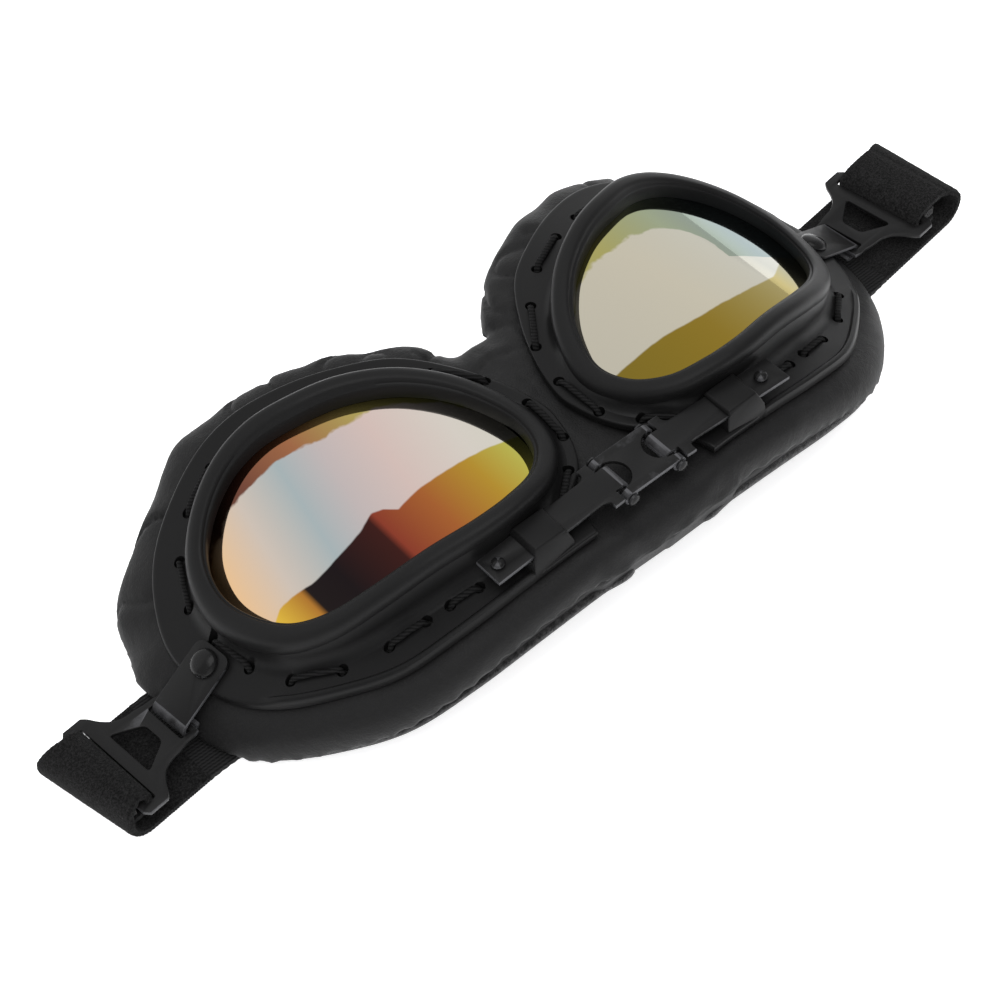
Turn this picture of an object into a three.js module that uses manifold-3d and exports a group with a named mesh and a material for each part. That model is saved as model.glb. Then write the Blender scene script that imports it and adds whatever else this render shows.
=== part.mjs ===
// Motorcycle goggles with a padded leather surround, a folding sliding bridge and a webbing strap.
// Millimetres. +X is the wearer's right, +Z points out of the lenses, -Y is the brow, +Y the cheeks.
// The origin is on the surface the goggles lie on, under the middle of the bridge.

import * as THREE from 'three';
import { mergeVertices } from 'three/addons/utils/BufferGeometryUtils.js';
import Module from 'manifold-3d';

const wasm = await Module();
wasm.setup();

// ---------------------------------------------------------------- driving dimensions

const GAP = 0.3;              // clearance between pieces that touch
const CENTRE_Y = -9.5;        // where the eyepieces' own v = 0 lies in Y
const EYE_SHIFT = -0.87;      // how far each eyepiece is slid in along its bridge arm
const FOLD_SLOPE = 0.073;     // fall of the arms away from the bridge, per mm

const FLANGE_THICK = 1.8;
const WALL_THICK = 3;
const BEZEL_BAND = 4;         // width of the rim's front band
const LENS_THICK = 1.8;
const LENS_RECESS = 4.9;      // rim top down to the lens's front
const SKIRT = 1.2;            // thickness of the bezel's skirt round the lens

const PAD_INSET = 4.5;        // the pad's opening, inside the rim's outline
const PAD_DEPTH = 17.5;       // flange top to the face side, near the nose
const PAD_TAPER = 0.045;      // how much thinner the pad is per mm towards the temple
const LINING_THICK = 2.2;
const COVER_THICK = 2;        // leather cover with its backing
const STRAP_WIDTH = 24.6;
const STRAP_THICK = 1.6;
const STRAP_Y = -2.8;         // centre of the strap's run under the goggles
const STRAP_YAW = { left: 6.5, right: 8.5 };  // degrees the brackets are swung round
const RUN_END = 91.5;          // where the strap's run hands over to its folded end

const HINGE_X = 6.2;
const HINGE_Y = -33.9;
const HINGE_Z = 38.2;
const PIN_R = 0.7;
const KNUCKLE_R = 1.55;
const KNUCKLE_BORE_R = 1;
const SHEET = 0.9;            // bridge sheet thickness
const LINK_WIDTH = 11.5;
const CUTOUT_R = 3.8;
const ARM_WIDTH = 6.8;
const ARM_END = 37.6;
const STUD_AT = { left: 35, right: 33 };

const RIVET = new THREE.Vector2(83.2, 10.3);
const BRACKET_WIDTH = 9.4;
const BRACKET_SHEET = 0.8;
const BAR_AT = 10;          // rivet to the buckle's narrow bar, measured level
const ROLL_R = 1.35;          // inside of the bracket's rolled end
const BUCKLE_THICK = 1;
const SIDES = { left: -1, right: 1 };

// Heights above the resting surface, as functions of the distance u from the bridge centre.
const flangeZ = (u) => 35.51 + u * (0.1123 + u * (-0.005823 + u * 1.557e-5));
const rimZ = (u) => 34.66 + u * (0.6896 + u * (-0.01333 + u * 3.203e-5));
const padDepth = (u) => PAD_DEPTH - PAD_TAPER * u;
const faceZ = (u) => Math.max(0, flangeZ(u) - padDepth(u));
const armZ = (u) => HINGE_Z + KNUCKLE_R - FOLD_SLOPE * (u - HINGE_X);
const flangeSlope = (flangeZ(RIVET.x + 0.5) - flangeZ(RIVET.x - 0.5));
const RIVET_TILT = Math.atan(-flangeSlope);

// ---------------------------------------------------------------- outlines in (u, v)

const v2 = ([x, y]) => new THREE.Vector2(x, y);

const RIM = new THREE.CatmullRomCurve3([
  [7.3, -1], [11.5, 12], [20, 22], [31, 29], [41, 33], [51, 36], [60, 35.8], [69, 32], [75.5, 25.5],
  [78.6, 16], [77.6, 6], [73, -4.5], [66, -11], [57, -15], [45, -18.2], [35, -20.3], [26, -20.3],
  [17, -17.8], [10, -11],
].map(([x, y]) => new THREE.Vector3(x, y, 0)), true);

const RAIL_END = [16, -30.2];
const FLANGE_STEP = [13.8, -19.8];
const FLANGE_ROUND = [
  [8.5, -16], [5, -10.3], [3.2, -4], [2.7, 0.5], [5, 10.5], [10, 21.5], [17, 31.5], [26, 38], [37, 43.8],
  [48, 47.2], [57, 47], [68, 43], [77, 37], [83.5, 28], [86.8, 18], [85.5, 4], [80, -7], [70, -17],
  [60, -23.8], [48, -27], [33, -29],
];
// Each pair of lace holes carries one stitch on the front of the flange.
const STITCHES = [
  [[74.1, 31.4], [78.7, 22.2]], [[79.4, 12.8], [78.3, 2.4]], [[74.6, -6.6], [67, -13.7]],
  [[58.3, -17.8], [50.5, -19.8]], [[45.5, -21], [39.5, -22.6]], [[16.6, -20.4], [10.4, -15.2]],
  [[5.6, -8], [5, 3.5]], [[7.6, 13.6], [14.2, 23]], [[22.3, 30.6], [32.5, 36.3]],
  [[40.5, 39.3], [49, 41]], [[58, 41.4], [66.7, 37.9]],
];

function offsetLoop(outline, distance) {
  const count = outline.length;
  return outline.map((p, i) => {
    const before = outline[(i + count - 1) % count];
    const after = outline[(i + 1) % count];
    const along = after.clone().sub(before).normalize();
    return new THREE.Vector2(p.x - along.y * distance, p.y + along.x * distance);
  });
}

function rimOutline(inset) {
  const count = 36;
  const outline = RIM.getPoints(count).slice(0, count).map((p) => new THREE.Vector2(p.x, p.y));
  return offsetLoop(outline, -inset);
}

function flangeOutline() {
  const round = new THREE.SplineCurve([FLANGE_STEP, ...FLANGE_ROUND, RAIL_END].map(v2));
  return round.getPoints(44);
}

// The pad's outline is the flange's, filled out at the brow so that it meets the centre piece.
function padOutline(bulge) {
  const round = FLANGE_ROUND.map(v2);
  const brow = [v2([20, -30]), v2([12, -30.2])];
  const loop = new THREE.CatmullRomCurve3([...round.slice(1), ...brow]
    .map((p) => new THREE.Vector3(p.x, p.y, 0)), true);
  const outline = loop.getPoints(36).slice(0, 36).map((p) => new THREE.Vector2(p.x, p.y));
  return offsetLoop(outline, bulge);
}

// ---------------------------------------------------------------- solids

function solid(geometry) {
  geometry.deleteAttribute('normal');
  geometry.deleteAttribute('uv');
  const merged = mergeVertices(geometry, 1e-3);
  return new wasm.Manifold(new wasm.Mesh({
    numProp: 3,
    vertProperties: new Float32Array(merged.attributes.position.array),
    triVerts: new Uint32Array(merged.index.array),
  }));
}

function geometryOf(manifold) {
  const mesh = manifold.getMesh();
  const geometry = new THREE.BufferGeometry();
  geometry.setAttribute('position', new THREE.Float32BufferAttribute(mesh.vertProperties, 3));
  geometry.setIndex(Array.from(mesh.triVerts));
  return geometry;
}

function unite(...parts) {
  return parts.reduce((whole, part) => whole.add(part));
}

function prism(outline, low, high, holes = []) {
  const shape = new THREE.Shape(outline);
  holes.forEach((hole) => shape.holes.push(new THREE.Path(hole)));
  const geometry = new THREE.ExtrudeGeometry(shape, { depth: high - low, bevelEnabled: false });
  return solid(geometry.translate(0, 0, low));
}

// A block between two surfaces that curve along u only.
function slab(lowZ, highZ, strips = 12) {
  const [from, to, width] = [-6, 104, 160];
  const geometry = new THREE.BoxGeometry(to - from, width, 1, strips, 1, 1);
  const position = geometry.attributes.position;
  for (let i = 0; i < position.count; i += 1) {
    const u = position.getX(i) + (from + to) / 2;
    position.setX(i, u);
    position.setZ(i, position.getZ(i) > 0 ? highZ(u) : lowZ(u));
  }
  return solid(geometry);
}

const above = (surface) => slab(surface, () => 80);
const bent = (outline, lowZ, highZ) => prism(outline, -10, 70).intersect(slab(lowZ, highZ));
const raised = (surface, by) => (u) => surface(u) + by;

function box(x, y, z) {
  const geometry = new THREE.BoxGeometry(x[1] - x[0], y[1] - y[0], z[1] - z[0]);
  return solid(geometry.translate((x[0] + x[1]) / 2, (y[0] + y[1]) / 2, (z[0] + z[1]) / 2));
}

// An outline drawn in (x, z), carried along Y.
function alongY(outline, low, high) {
  const options = { depth: high - low, curveSegments: 7, bevelEnabled: false };
  const geometry = new THREE.ExtrudeGeometry(outline, options);
  return solid(geometry.rotateX(Math.PI / 2).translate(0, high, 0));
}

function polygon(points) {
  return new THREE.Shape(points.map(v2));
}

function cylinder(radius, low, high, sides = 16) {
  const geometry = new THREE.CylinderGeometry(radius, radius, high - low, sides);
  return geometry.rotateX(Math.PI / 2).translate(0, 0, (low + high) / 2);
}

function annulus(outer, inner, from = 0, to = 2 * Math.PI) {
  const shape = new THREE.Shape();
  const whole = Math.abs(to - from) >= 2 * Math.PI;
  shape.absarc(0, 0, outer, from, to, false);
  if (whole) {
    shape.holes.push(new THREE.Path().absarc(0, 0, inner, from, to, true));
  } else {
    shape.absarc(0, 0, inner, to, from, true);
  }
  return shape;
}

// ---------------------------------------------------------------- eyepiece

const wallTop = raised(rimZ, -(LENS_RECESS + LENS_THICK + GAP));
const flangeUnder = raised(flangeZ, -FLANGE_THICK);
const rivetFrame = new THREE.Matrix4().makeRotationY(RIVET_TILT)
  .setPosition(RIVET.x, RIVET.y, flangeZ(RIVET.x));

function rivetHole(radius) {
  return solid(cylinder(radius, -12, 12, 12).applyMatrix4(rivetFrame));
}

// Room for the lens and the bezel's inner lip, which sink below the flange at the nose and temple.
function lensRoom(clearance) {
  return above(raised(wallTop, -clearance)).intersect(prism(rimOutline(SKIRT - GAP), -10, 70));
}

function guideBlock() {
  const [x, y, draft] = [[22, 29.5], [-27.9, -20.9], 1.5];
  const top = polygon([[x[0], y[0]], [x[1], y[0]], [x[1], y[1]], [x[0], y[1]]]);
  const drafted = { depth: 3.5, bevelThickness: 2.2, bevelSize: draft, bevelSegments: 1 };
  const block = solid(new THREE.ExtrudeGeometry(top, drafted).translate(0, 0, 34.1));
  const clearance = GAP + 0.05;
  const slotSide = ARM_WIDTH / 2 + clearance;
  const middle = HINGE_Y - CENTRE_Y;
  const armTop = (u) => armZ(u + EYE_SHIFT);
  const slot = box([10, 45], [middle - slotSide, middle + slotSide], [20, 60])
    .intersect(slab(raised(armTop, -SHEET - clearance), raised(armTop, clearance), 2));
  const foot = slab(flangeUnder, () => 60);
  const wall = prism(rimOutline(-GAP - 0.05), 0, 60).intersect(above(raised(wallTop, -0.1)));
  return block.intersect(foot).subtract(slot).subtract(wall);
}

function frame() {
  const inside = rimOutline(WALL_THICK);
  const plate = bent(flangeOutline(), flangeUnder, flangeZ);
  const edge = prism(flangeOutline(), 0, 60).subtract(prism(offsetLoop(flangeOutline(), -1.3), -1, 61))
    .intersect(prism([[14.5, -40], [14.5, -23], [60, -18], [95, -4], [95, -40]].map(v2), 0, 60));
  const bead = edge.intersect(slab(raised(flangeZ, -1), raised(flangeZ, 0.7)));
  const wallHead = (u) => Math.max(wallTop(u), flangeZ(u) - 0.1);
  const wall = bent(rimOutline(0), raised(flangeUnder, 0.6), wallHead);
  const opening = prism(inside, -10, 70);
  let body = unite(plate.subtract(opening), wall.subtract(opening), bead, guideBlock())
    .subtract(lensRoom(0)).subtract(rivetHole(1.7));
  STITCHES.flat().forEach(([u, v]) => {
    const hole = solid(cylinder(1.3, 0, 60, 6).translate(u, v, 0));
    body = body.subtract(hole);
  });
  return body;
}

function bezel() {
  const band = bent(rimOutline(SKIRT - GAP / 2), raised(rimZ, -LENS_RECESS + GAP), rimZ);
  const skirtFoot = (u) => Math.max(rimZ(u) - LENS_RECESS - LENS_THICK, flangeZ(u) + GAP);
  const skirt = bent(rimOutline(0), skirtFoot, rimZ);
  return unite(band.subtract(prism(rimOutline(BEZEL_BAND), -10, 70)),
    skirt.subtract(prism(rimOutline(SKIRT), -10, 70)));
}

function lens() {
  const outline = rimOutline(SKIRT + GAP);
  return bent(outline, raised(rimZ, -LENS_RECESS - LENS_THICK), raised(rimZ, -LENS_RECESS));
}

const GUSSET_HALF = 1.6;       // half-width of the strip between the eyepieces
const GUSSET_BROW = 8.6;       // half-width where it meets the brow
function gussetOutline(grow) {
  const [strip, brow] = [GUSSET_HALF + grow, GUSSET_BROW + grow];
  const corners = [[strip, 13], [strip, -15], [strip + 2.4, -20], [brow, -27], [brow, -60]];
  return [...corners, ...corners.map(([x, y]) => [-x, y]).reverse()].map(v2);
}

// The pad before it is split into leather, foam and lining; shrink leaves the core inside the cover.
function padBody(shrink) {
  const layers = [
    { bulge: 4, top: -FLANGE_THICK - GAP, bottom: -9 },
    { bulge: 7, top: -4, bottom: -10 },
    { bulge: 4, top: -6, bottom: -60 },
  ];
  const shelf = layers.map(({ bulge, top, bottom }) => bent(padOutline(bulge - shrink),
    (u) => Math.max(faceZ(u), flangeZ(u) + bottom + shrink), raised(flangeZ, top)));
  const noseWedge = alongY(polygon([[-40, -10], [17, -10], [1.6, 34], [-40, 34]]), -60, 60);
  const centre = prism(gussetOutline(GAP + shrink), -10, 70).translate([-EYE_SHIFT, -CENTRE_Y, 0]);
  const face = slab(faceZ, () => 80);
  const narrow = noseWedge.translate([shrink, 0, 0]);
  return unite(...shelf).intersect(face).subtract(narrow).subtract(centre).subtract(lensRoom(GAP))
    .subtract(prism(rimOutline(PAD_INSET - shrink), -10, 70));
}

function strapGroove() {
  const half = STRAP_WIDTH / 2 + 1;
  const middle = STRAP_Y - CENTRE_Y;
  return box([-10, 120], [middle - half, middle + half], [-5, STRAP_THICK + GAP]);
}

// Room for the bracket as it swings on its rivet, and for the buckle beyond it.
function bracketSweep() {
  const sweep = new THREE.Shape();
  sweep.moveTo(-5, -6);
  sweep.lineTo(20, -16);
  sweep.lineTo(20, 16);
  sweep.lineTo(-5, 6);
  const geometry = new THREE.ExtrudeGeometry(sweep, { depth: 30, bevelEnabled: false });
  const room = solid(geometry.translate(0, 0, -1.5).applyMatrix4(rivetFrame));
  const roll = placed(box([7.5, 30], [-14, 14], [-4.2, 10]), rivetFrame);
  return unite(room, roll, solid(cylinder(3.2, -4.6, 0, 12).applyMatrix4(rivetFrame)));
}

function laceChannel() {
  const outer = offsetLoop(laceLoop(), 1.6);
  const inner = offsetLoop(laceLoop(), -1.6);
  return prism(outer, 0, 60).subtract(prism(inner, -1, 61)).intersect(above(raised(flangeZ, -4.4)));
}

function liningTop(u) {
  return faceZ(u) + LINING_THICK;
}

function cushion() {
  const cover = padBody(0).intersect(above(raised(liningTop, GAP)));
  return cover.subtract(foamSpace(COVER_THICK)).subtract(laceChannel()).subtract(bracketSweep())
    .subtract(strapGroove());
}

function foamSpace(shrink) {
  return padBody(shrink).intersect(slab(raised(liningTop, -1), raised(flangeZ, -7.5)))
    .intersect(box([-5, 80], [-60, 60], [-10, 60]));
}

function foamCore() {
  return foamSpace(COVER_THICK + GAP).intersect(slab(raised(liningTop, GAP), raised(flangeZ, -7.8)))
    .intersect(box([-5, 79.7], [-60, 60], [STRAP_THICK + GAP, 60]));
}

function faceLining() {
  return padBody(0).intersect(slab(() => -10, liningTop)).subtract(strapGroove());
}

// ---------------------------------------------------------------- lace

const LACE_R = 0.6;
const laceLoop = () => STITCHES.flat().map(v2);

// A path whose steps fall exactly on its own points.
class Polyline extends THREE.Curve {
  constructor(points) {
    super();
    this.points = points;
  }

  getPoint(t, target = new THREE.Vector3()) {
    const at = t * (this.points.length - 1);
    const i = Math.min(Math.floor(at + 1e-9), this.points.length - 2);
    return target.copy(this.points[i]).lerp(this.points[i + 1], at - i);
  }

  getPointAt(t, target) {
    return this.getPoint(t, target);
  }

  getTangentAt(t, target = new THREE.Vector3()) {
    const last = this.points.length - 1;
    const i = Math.round(t * last);
    const [before, after] = [this.points[Math.max(i - 1, 0)], this.points[Math.min(i + 1, last)]];
    return target.copy(after).sub(before).normalize();
  }
}

// One cord, over the flange at each stitch and under it from one stitch to the next.
function lace() {
  const rise = LACE_R + GAP;
  const bend = 0.5;
  const points = [];
  STITCHES.forEach(([from, to]) => {
    const stitch = v2(to).sub(v2(from)).normalize().multiplyScalar(bend);
    const at = ([u, v], z, shift) => {
      points.push(new THREE.Vector3(u + stitch.x * shift, v + stitch.y * shift, flangeZ(u) + z));
    };
    const [high, low] = [rise, -FLANGE_THICK - rise];
    at(from, low, -1);
    at(from, low + bend, 0);
    at(from, high - bend, 0);
    at(from, high, 1);
    at(to, high, -1);
    at(to, high - bend, 0);
    at(to, low + bend, 0);
    at(to, low, 1);
  });
  const section = new THREE.Shape().absarc(0, 0, LACE_R, 0, 2 * Math.PI);
  return solid(new THREE.ExtrudeGeometry(section, {
    steps: points.length - 1, curveSegments: 3, bevelEnabled: false, extrudePath: new Polyline(points),
  }));
}

// ---------------------------------------------------------------- bridge

function bridgeLink() {
  const [half, wide] = [HINGE_X, LINK_WIDTH / 2];
  const plate = box([-half, half], [HINGE_Y - wide, HINGE_Y + wide],
    [HINGE_Z + KNUCKLE_R - SHEET, HINGE_Z + KNUCKLE_R]);
  const ears = [[-wide, -CUTOUT_R - 0.1], [CUTOUT_R + 0.1, wide]];
  let body = plate;
  [-half, half].forEach((x) => {
    body = body.subtract(solid(cylinder(CUTOUT_R, 20, 60, 20).translate(x, HINGE_Y, 0)));
    body = body.subtract(pinRoom(x));
  });
  [-half, half].forEach((x) => ears.forEach(([low, high]) => {
    body = body.add(knuckle(x, low, high));
  }));
  return body;
}

// Clears the sheet out of a knuckle's bore; the knuckle added afterwards lines it.
function pinRoom(x) {
  const room = new THREE.CylinderGeometry(1.3, 1.3, 40, 12);
  return solid(room.translate(x, HINGE_Y, HINGE_Z));
}

function knuckle(x, low, high) {
  return alongY(annulus(KNUCKLE_R, KNUCKLE_BORE_R), HINGE_Y + low, HINGE_Y + high)
    .translate([x, 0, HINGE_Z]);
}

const MID_KNUCKLE = 3;         // half-length of the arm's own knuckle
const TEE_END = 10.6;
function bridgeArm(stud) {
  const [wide, narrow] = [LINK_WIDTH / 2, ARM_WIDTH / 2];
  const shoulder = HINGE_X + KNUCKLE_R + GAP;
  const half = (side) => [
    [HINGE_X, MID_KNUCKLE * side], [shoulder, MID_KNUCKLE * side], [shoulder, wide * side],
    [TEE_END, wide * side], [TEE_END + 0.4, (narrow + 0.7) * side], [TEE_END + 1.2, narrow * side],
    [ARM_END, narrow * side],
  ];
  const outline = [...half(-1), ...half(1).reverse()].map(([x, y]) => new THREE.Vector2(x, y + HINGE_Y));
  const plate = prism(outline, 20, 60).intersect(slab(raised(armZ, -SHEET), armZ, 2));
  const studHole = solid(cylinder(0.95, 20, 60, 12).translate(stud, HINGE_Y, 0));
  const sheet = plate.subtract(pinRoom(HINGE_X)).subtract(studHole);
  return sheet.add(knuckle(HINGE_X, -MID_KNUCKLE, MID_KNUCKLE));
}

// A turned piece, from its profile of (radius, height) points; its axis is +Y as lathed.
function turned(profile, segments = 12) {
  return new THREE.LatheGeometry(profile.map(v2), segments);
}

function stopStud(stud) {
  const [top, under] = [GAP, -SHEET - GAP];
  const profile = [[0, under - 0.5], [1.3, under - 0.5], [1.3, under], [0.6, under], [0.6, top], [1.35, top],
    [1.2, top + 0.6], [0.7, top + 0.9], [0, top + 0.9]];
  return solid(turned(profile, 12).rotateX(Math.PI / 2).translate(stud, HINGE_Y, armZ(stud)));
}

function hingePin() {
  const [end, head] = [LINK_WIDTH / 2 + GAP, 0.8];
  const profile = [[0, -end - head], [1.1, -end - head], [1.3, -end - 0.5], [1.3, -end], [PIN_R, -end],
    [PIN_R, end], [1.3, end], [1.3, end + 0.5], [1.1, end + head], [0, end + head]];
  return solid(turned(profile, 12).translate(HINGE_X, HINGE_Y, HINGE_Z));
}

// ---------------------------------------------------------------- temple rivet, bracket and buckle

const BRACKET_TOP = GAP + BRACKET_SHEET;
const ROLL_OUT = ROLL_R + BRACKET_SHEET;
const ROLL_UP = BRACKET_TOP - ROLL_OUT;
const ROLL_ALONG = (BAR_AT - ROLL_UP * Math.sin(RIVET_TILT)) / Math.cos(RIVET_TILT);
const TAIL = FLANGE_THICK + GAP;
const WASHER_THICK = 0.8;

function pivotRivet() {
  const top = BRACKET_TOP + GAP;
  const tail = -TAIL - WASHER_THICK - GAP;
  const dome = [20, 40, 60, 80].map((a) => a * Math.PI / 180)
    .map((a) => [3 * Math.cos(a), top + 0.5 + 1.1 * Math.sin(a)]);
  const profile = [[0, tail - 0.8], [2.2, tail - 0.8], [2.2, tail], [1.3, tail], [1.3, top], [3, top],
    [3, top + 0.5], ...dome, [0, top + 1.6]];
  return solid(turned(profile).rotateX(Math.PI / 2).applyMatrix4(rivetFrame));
}

function rivetWasher() {
  const options = { depth: WASHER_THICK, curveSegments: 7, bevelEnabled: false };
  const ring = new THREE.ExtrudeGeometry(annulus(2.4, 1.6), options);
  return solid(ring.translate(0, 0, -TAIL - WASHER_THICK).applyMatrix4(rivetFrame));
}

function bracketFrame(yaw) {
  return rivetFrame.clone().multiply(new THREE.Matrix4().makeRotationZ(yaw));
}

function strapBracket(yaw) {
  const half = BRACKET_WIDTH / 2;
  const [start, round] = [-2.9, 1.8];
  const plan = new THREE.Shape();
  plan.moveTo(ROLL_ALONG, -half);
  plan.lineTo(ROLL_ALONG, half);
  plan.lineTo(start + round, half);
  plan.absarc(start + round, half - round, round, Math.PI / 2, Math.PI, false);
  plan.absarc(start + round, round - half, round, Math.PI, 1.5 * Math.PI, false);
  const options = { depth: BRACKET_SHEET, curveSegments: 4, bevelEnabled: false };
  const plate = solid(new THREE.ExtrudeGeometry(plan, options).translate(0, 0, GAP));
  const hole = solid(cylinder(1.65, -2, 4, 16));
  const roll = alongY(annulus(ROLL_OUT, ROLL_R, -0.8 * Math.PI, Math.PI / 2), -half, half)
    .translate([ROLL_ALONG, 0, ROLL_UP]);
  return placed(unite(plate, roll).subtract(hole), bracketFrame(yaw));
}

function placed(manifold, matrix) {
  return solid(geometryOf(manifold).applyMatrix4(matrix));
}

// The buckle lies level, its narrow bar in the bracket's roll.
function buckleFrame(yaw) {
  const at = new THREE.Vector3(ROLL_ALONG, 0, ROLL_UP).applyMatrix4(bracketFrame(yaw));
  const level = Math.atan(Math.tan(yaw) * Math.cos(RIVET_TILT));
  return new THREE.Matrix4().makeRotationZ(level).setPosition(at);
}

const BUCKLE = {
  narrow: 6.4, slot: [0.6, 2.9], slotHalf: 5.1, waist: [4.6, 6.9], window: [5.7, 12],
  windowHalf: [2.6, 6.2], wide: 13.4, widest: 12.6, strapSlot: [14.8, 17.2], strapSlotHalf: 11.3, end: 18.8,
};

function strapBuckle(yaw) {
  const b = BUCKLE;
  const side = (y) => {
    const flare = [[b.waist[0], b.waist[1] * y], [b.widest - 2.4, (b.waist[1] + 0.6) * y],
      [b.widest, (b.wide - 0.6) * y]].map(v2);
    const corners = [[b.widest + 1, b.wide * y], [b.end - 1.2, b.wide * y], [b.end, (b.wide - 1.2) * y]];
    return [v2([-0.6, b.narrow * y]), ...new THREE.QuadraticBezierCurve(...flare).getPoints(6),
      ...corners.map(v2)];
  };
  const opening = ([from, to], [near, far]) => [[from, -near], [to, -far], [to, far], [from, near]].map(v2);
  const plate = prism([...side(1), ...side(-1).reverse()], -BUCKLE_THICK / 2, BUCKLE_THICK / 2, [
    opening(b.slot, [b.slotHalf, b.slotHalf]), opening(b.window, b.windowHalf),
    opening(b.strapSlot, [b.strapSlotHalf, b.strapSlotHalf])]);
  return placed(plate, buckleFrame(yaw));
}

const LOOP_END = { left: 21.5, right: 25.5 };  // where each strap end starts to fold back
const OVER_BAR = 1;            // underside of the strap where it crosses the buckle's outer bar
const UNDER_BAR = -3.4;        // underside of the tail below that bar
function strapLoop(yaw, loopEnd) {
  const frameZ = new THREE.Vector3().setFromMatrixPosition(buckleFrame(yaw)).z;
  const [floor, top] = [-frameZ, OVER_BAR + STRAP_THICK];
  const [middle, out] = [(floor + top) / 2, (top - floor) / 2];
  const fold = new THREE.Shape();
  fold.moveTo(2.9, floor);
  fold.lineTo(loopEnd, floor);
  fold.absarc(loopEnd, middle, out, -Math.PI / 2, Math.PI / 2, false);
  fold.lineTo(18.6, top);
  fold.lineTo(18.6, OVER_BAR);
  fold.lineTo(loopEnd, OVER_BAR);
  fold.absarc(loopEnd, middle, out - STRAP_THICK, Math.PI / 2, -Math.PI / 2, true);
  fold.lineTo(2.9, floor + STRAP_THICK);
  const [near, far] = [15.2, 15.2 + STRAP_THICK];
  const hook = polygon([[19.4, top], [near + 1.2, top], [near + 0.3, top - 0.4], [near, top - 1.2],
    [near, UNDER_BAR + 1], [near + 0.3, UNDER_BAR + 0.3], [near + 1, UNDER_BAR], [21.5, UNDER_BAR],
    [21.5, UNDER_BAR + STRAP_THICK], [far, UNDER_BAR + STRAP_THICK], [far, OVER_BAR], [19.4, OVER_BAR]]);
  const half = STRAP_WIDTH / 2;
  return placed(unite(alongY(fold, -half, half), alongY(hook, -10.7, 10.7)), buckleFrame(yaw));
}

function hookTab(yaw) {
  const tail = UNDER_BAR + STRAP_THICK;
  return placed(box([19.2, 22.4], [-10.4, 10.4], [tail + GAP, OVER_BAR - GAP]), buckleFrame(yaw));
}

// ---------------------------------------------------------------- centre pieces

function noseGusset() {
  const plan = gussetOutline(0);
  const crown = prism(plan, 22, 33.3).intersect(box([-30, 30], [-42.5, 20], [0, 40]));
  const hem = prism(plan, 20, 29).intersect(box([-30, 30], [-44.5, -28], [0, 40]));
  return unite(crown, hem);
}

function strapBand() {
  const half = STRAP_WIDTH / 2;
  return box([-RUN_END, RUN_END], [STRAP_Y - half, STRAP_Y + half], [0, STRAP_THICK]);
}

// ---------------------------------------------------------------- assembly

const finish = (color, roughness, metalness = 0) => ({ color, roughness, metalness });
const MOULDED = finish(0x141416, 0.45);
const RUBBER = finish(0x101012, 0.6);
const MIRROR = finish(0xd9c98a, 0.08, 0.6);
const LEATHER = finish(0x151516, 0.55);
const FOAM = finish(0x2b2b2e, 0.95);
const CORD = finish(0x0d0d0e, 0.8);
const PAINTED = finish(0x1b1b1d, 0.4, 0.6);
const STEEL = finish(0x2c2c30, 0.35, 0.9);
const WEBBING = finish(0x161617, 0.95);
const HOOK = finish(0x1f1f21, 0.9);

// The largest body of a cut solid, without the slivers that a cut can leave.
function mainBody(manifold) {
  const bodies = solid(geometryOf(manifold)).decompose();
  return bodies.reduce((most, body) => (body.volume() > most.volume() ? body : most));
}

function piece(name, manifold, look, side = 1) {
  const body = mainBody(side < 0 ? manifold.mirror([1, 0, 0]) : manifold);
  const geometry = geometryOf(body);
  const mesh = new THREE.Mesh(geometry, new THREE.MeshStandardMaterial(look));
  mesh.name = name;
  return mesh;
}

function eyepiece(name, side) {
  const yaw = THREE.MathUtils.degToRad(STRAP_YAW[name]) * side;
  const group = new THREE.Group();
  group.position.set(EYE_SHIFT * side, CENTRE_Y, 0);
  group.add(
    piece(`frame_${name}`, frame(), MOULDED, side),
    piece(`bezel_${name}`, bezel(), RUBBER, side),
    piece(`lens_${name}`, lens(), MIRROR, side),
    piece(`cushion_${name}`, cushion(), LEATHER, side),
    piece(`foam_core_${name}`, foamCore(), FOAM, side),
    piece(`face_lining_${name}`, faceLining(), LEATHER, side),
    piece(`lace_${name}`, lace(), CORD, side),
    piece(`pivot_rivet_${name}`, pivotRivet(), STEEL, side),
    piece(`rivet_washer_${name}`, rivetWasher(), STEEL, side),
    piece(`strap_bracket_${name}`, strapBracket(yaw), PAINTED, side),
    piece(`strap_buckle_${name}`, strapBuckle(yaw), PAINTED, side),
    piece(`strap_loop_${name}`, strapLoop(yaw, LOOP_END[name]), WEBBING, side),
    piece(`hook_tab_${name}`, hookTab(yaw), HOOK, side),
  );
  return group;
}

function bridgeSide(name, side) {
  const group = new THREE.Group();
  group.add(
    piece(`bridge_arm_${name}`, bridgeArm(STUD_AT[name]), PAINTED, side),
    piece(`stop_stud_${name}`, stopStud(STUD_AT[name]), STEEL, side),
    piece(`hinge_pin_${name}`, hingePin(), STEEL, side),
  );
  return group;
}

const goggles = new THREE.Group();
goggles.add(
  piece('bridge_link', bridgeLink(), PAINTED),
  piece('nose_gusset', noseGusset(), LEATHER),
  piece('strap_band', strapBand(), WEBBING),
);
Object.entries(SIDES).forEach(([name, side]) => goggles.add(eyepiece(name, side), bridgeSide(name, side)));

export default goggles;
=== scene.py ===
import math

import bmesh
import bpy
import numpy as np
from mathutils import Matrix, Vector, noise

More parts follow.
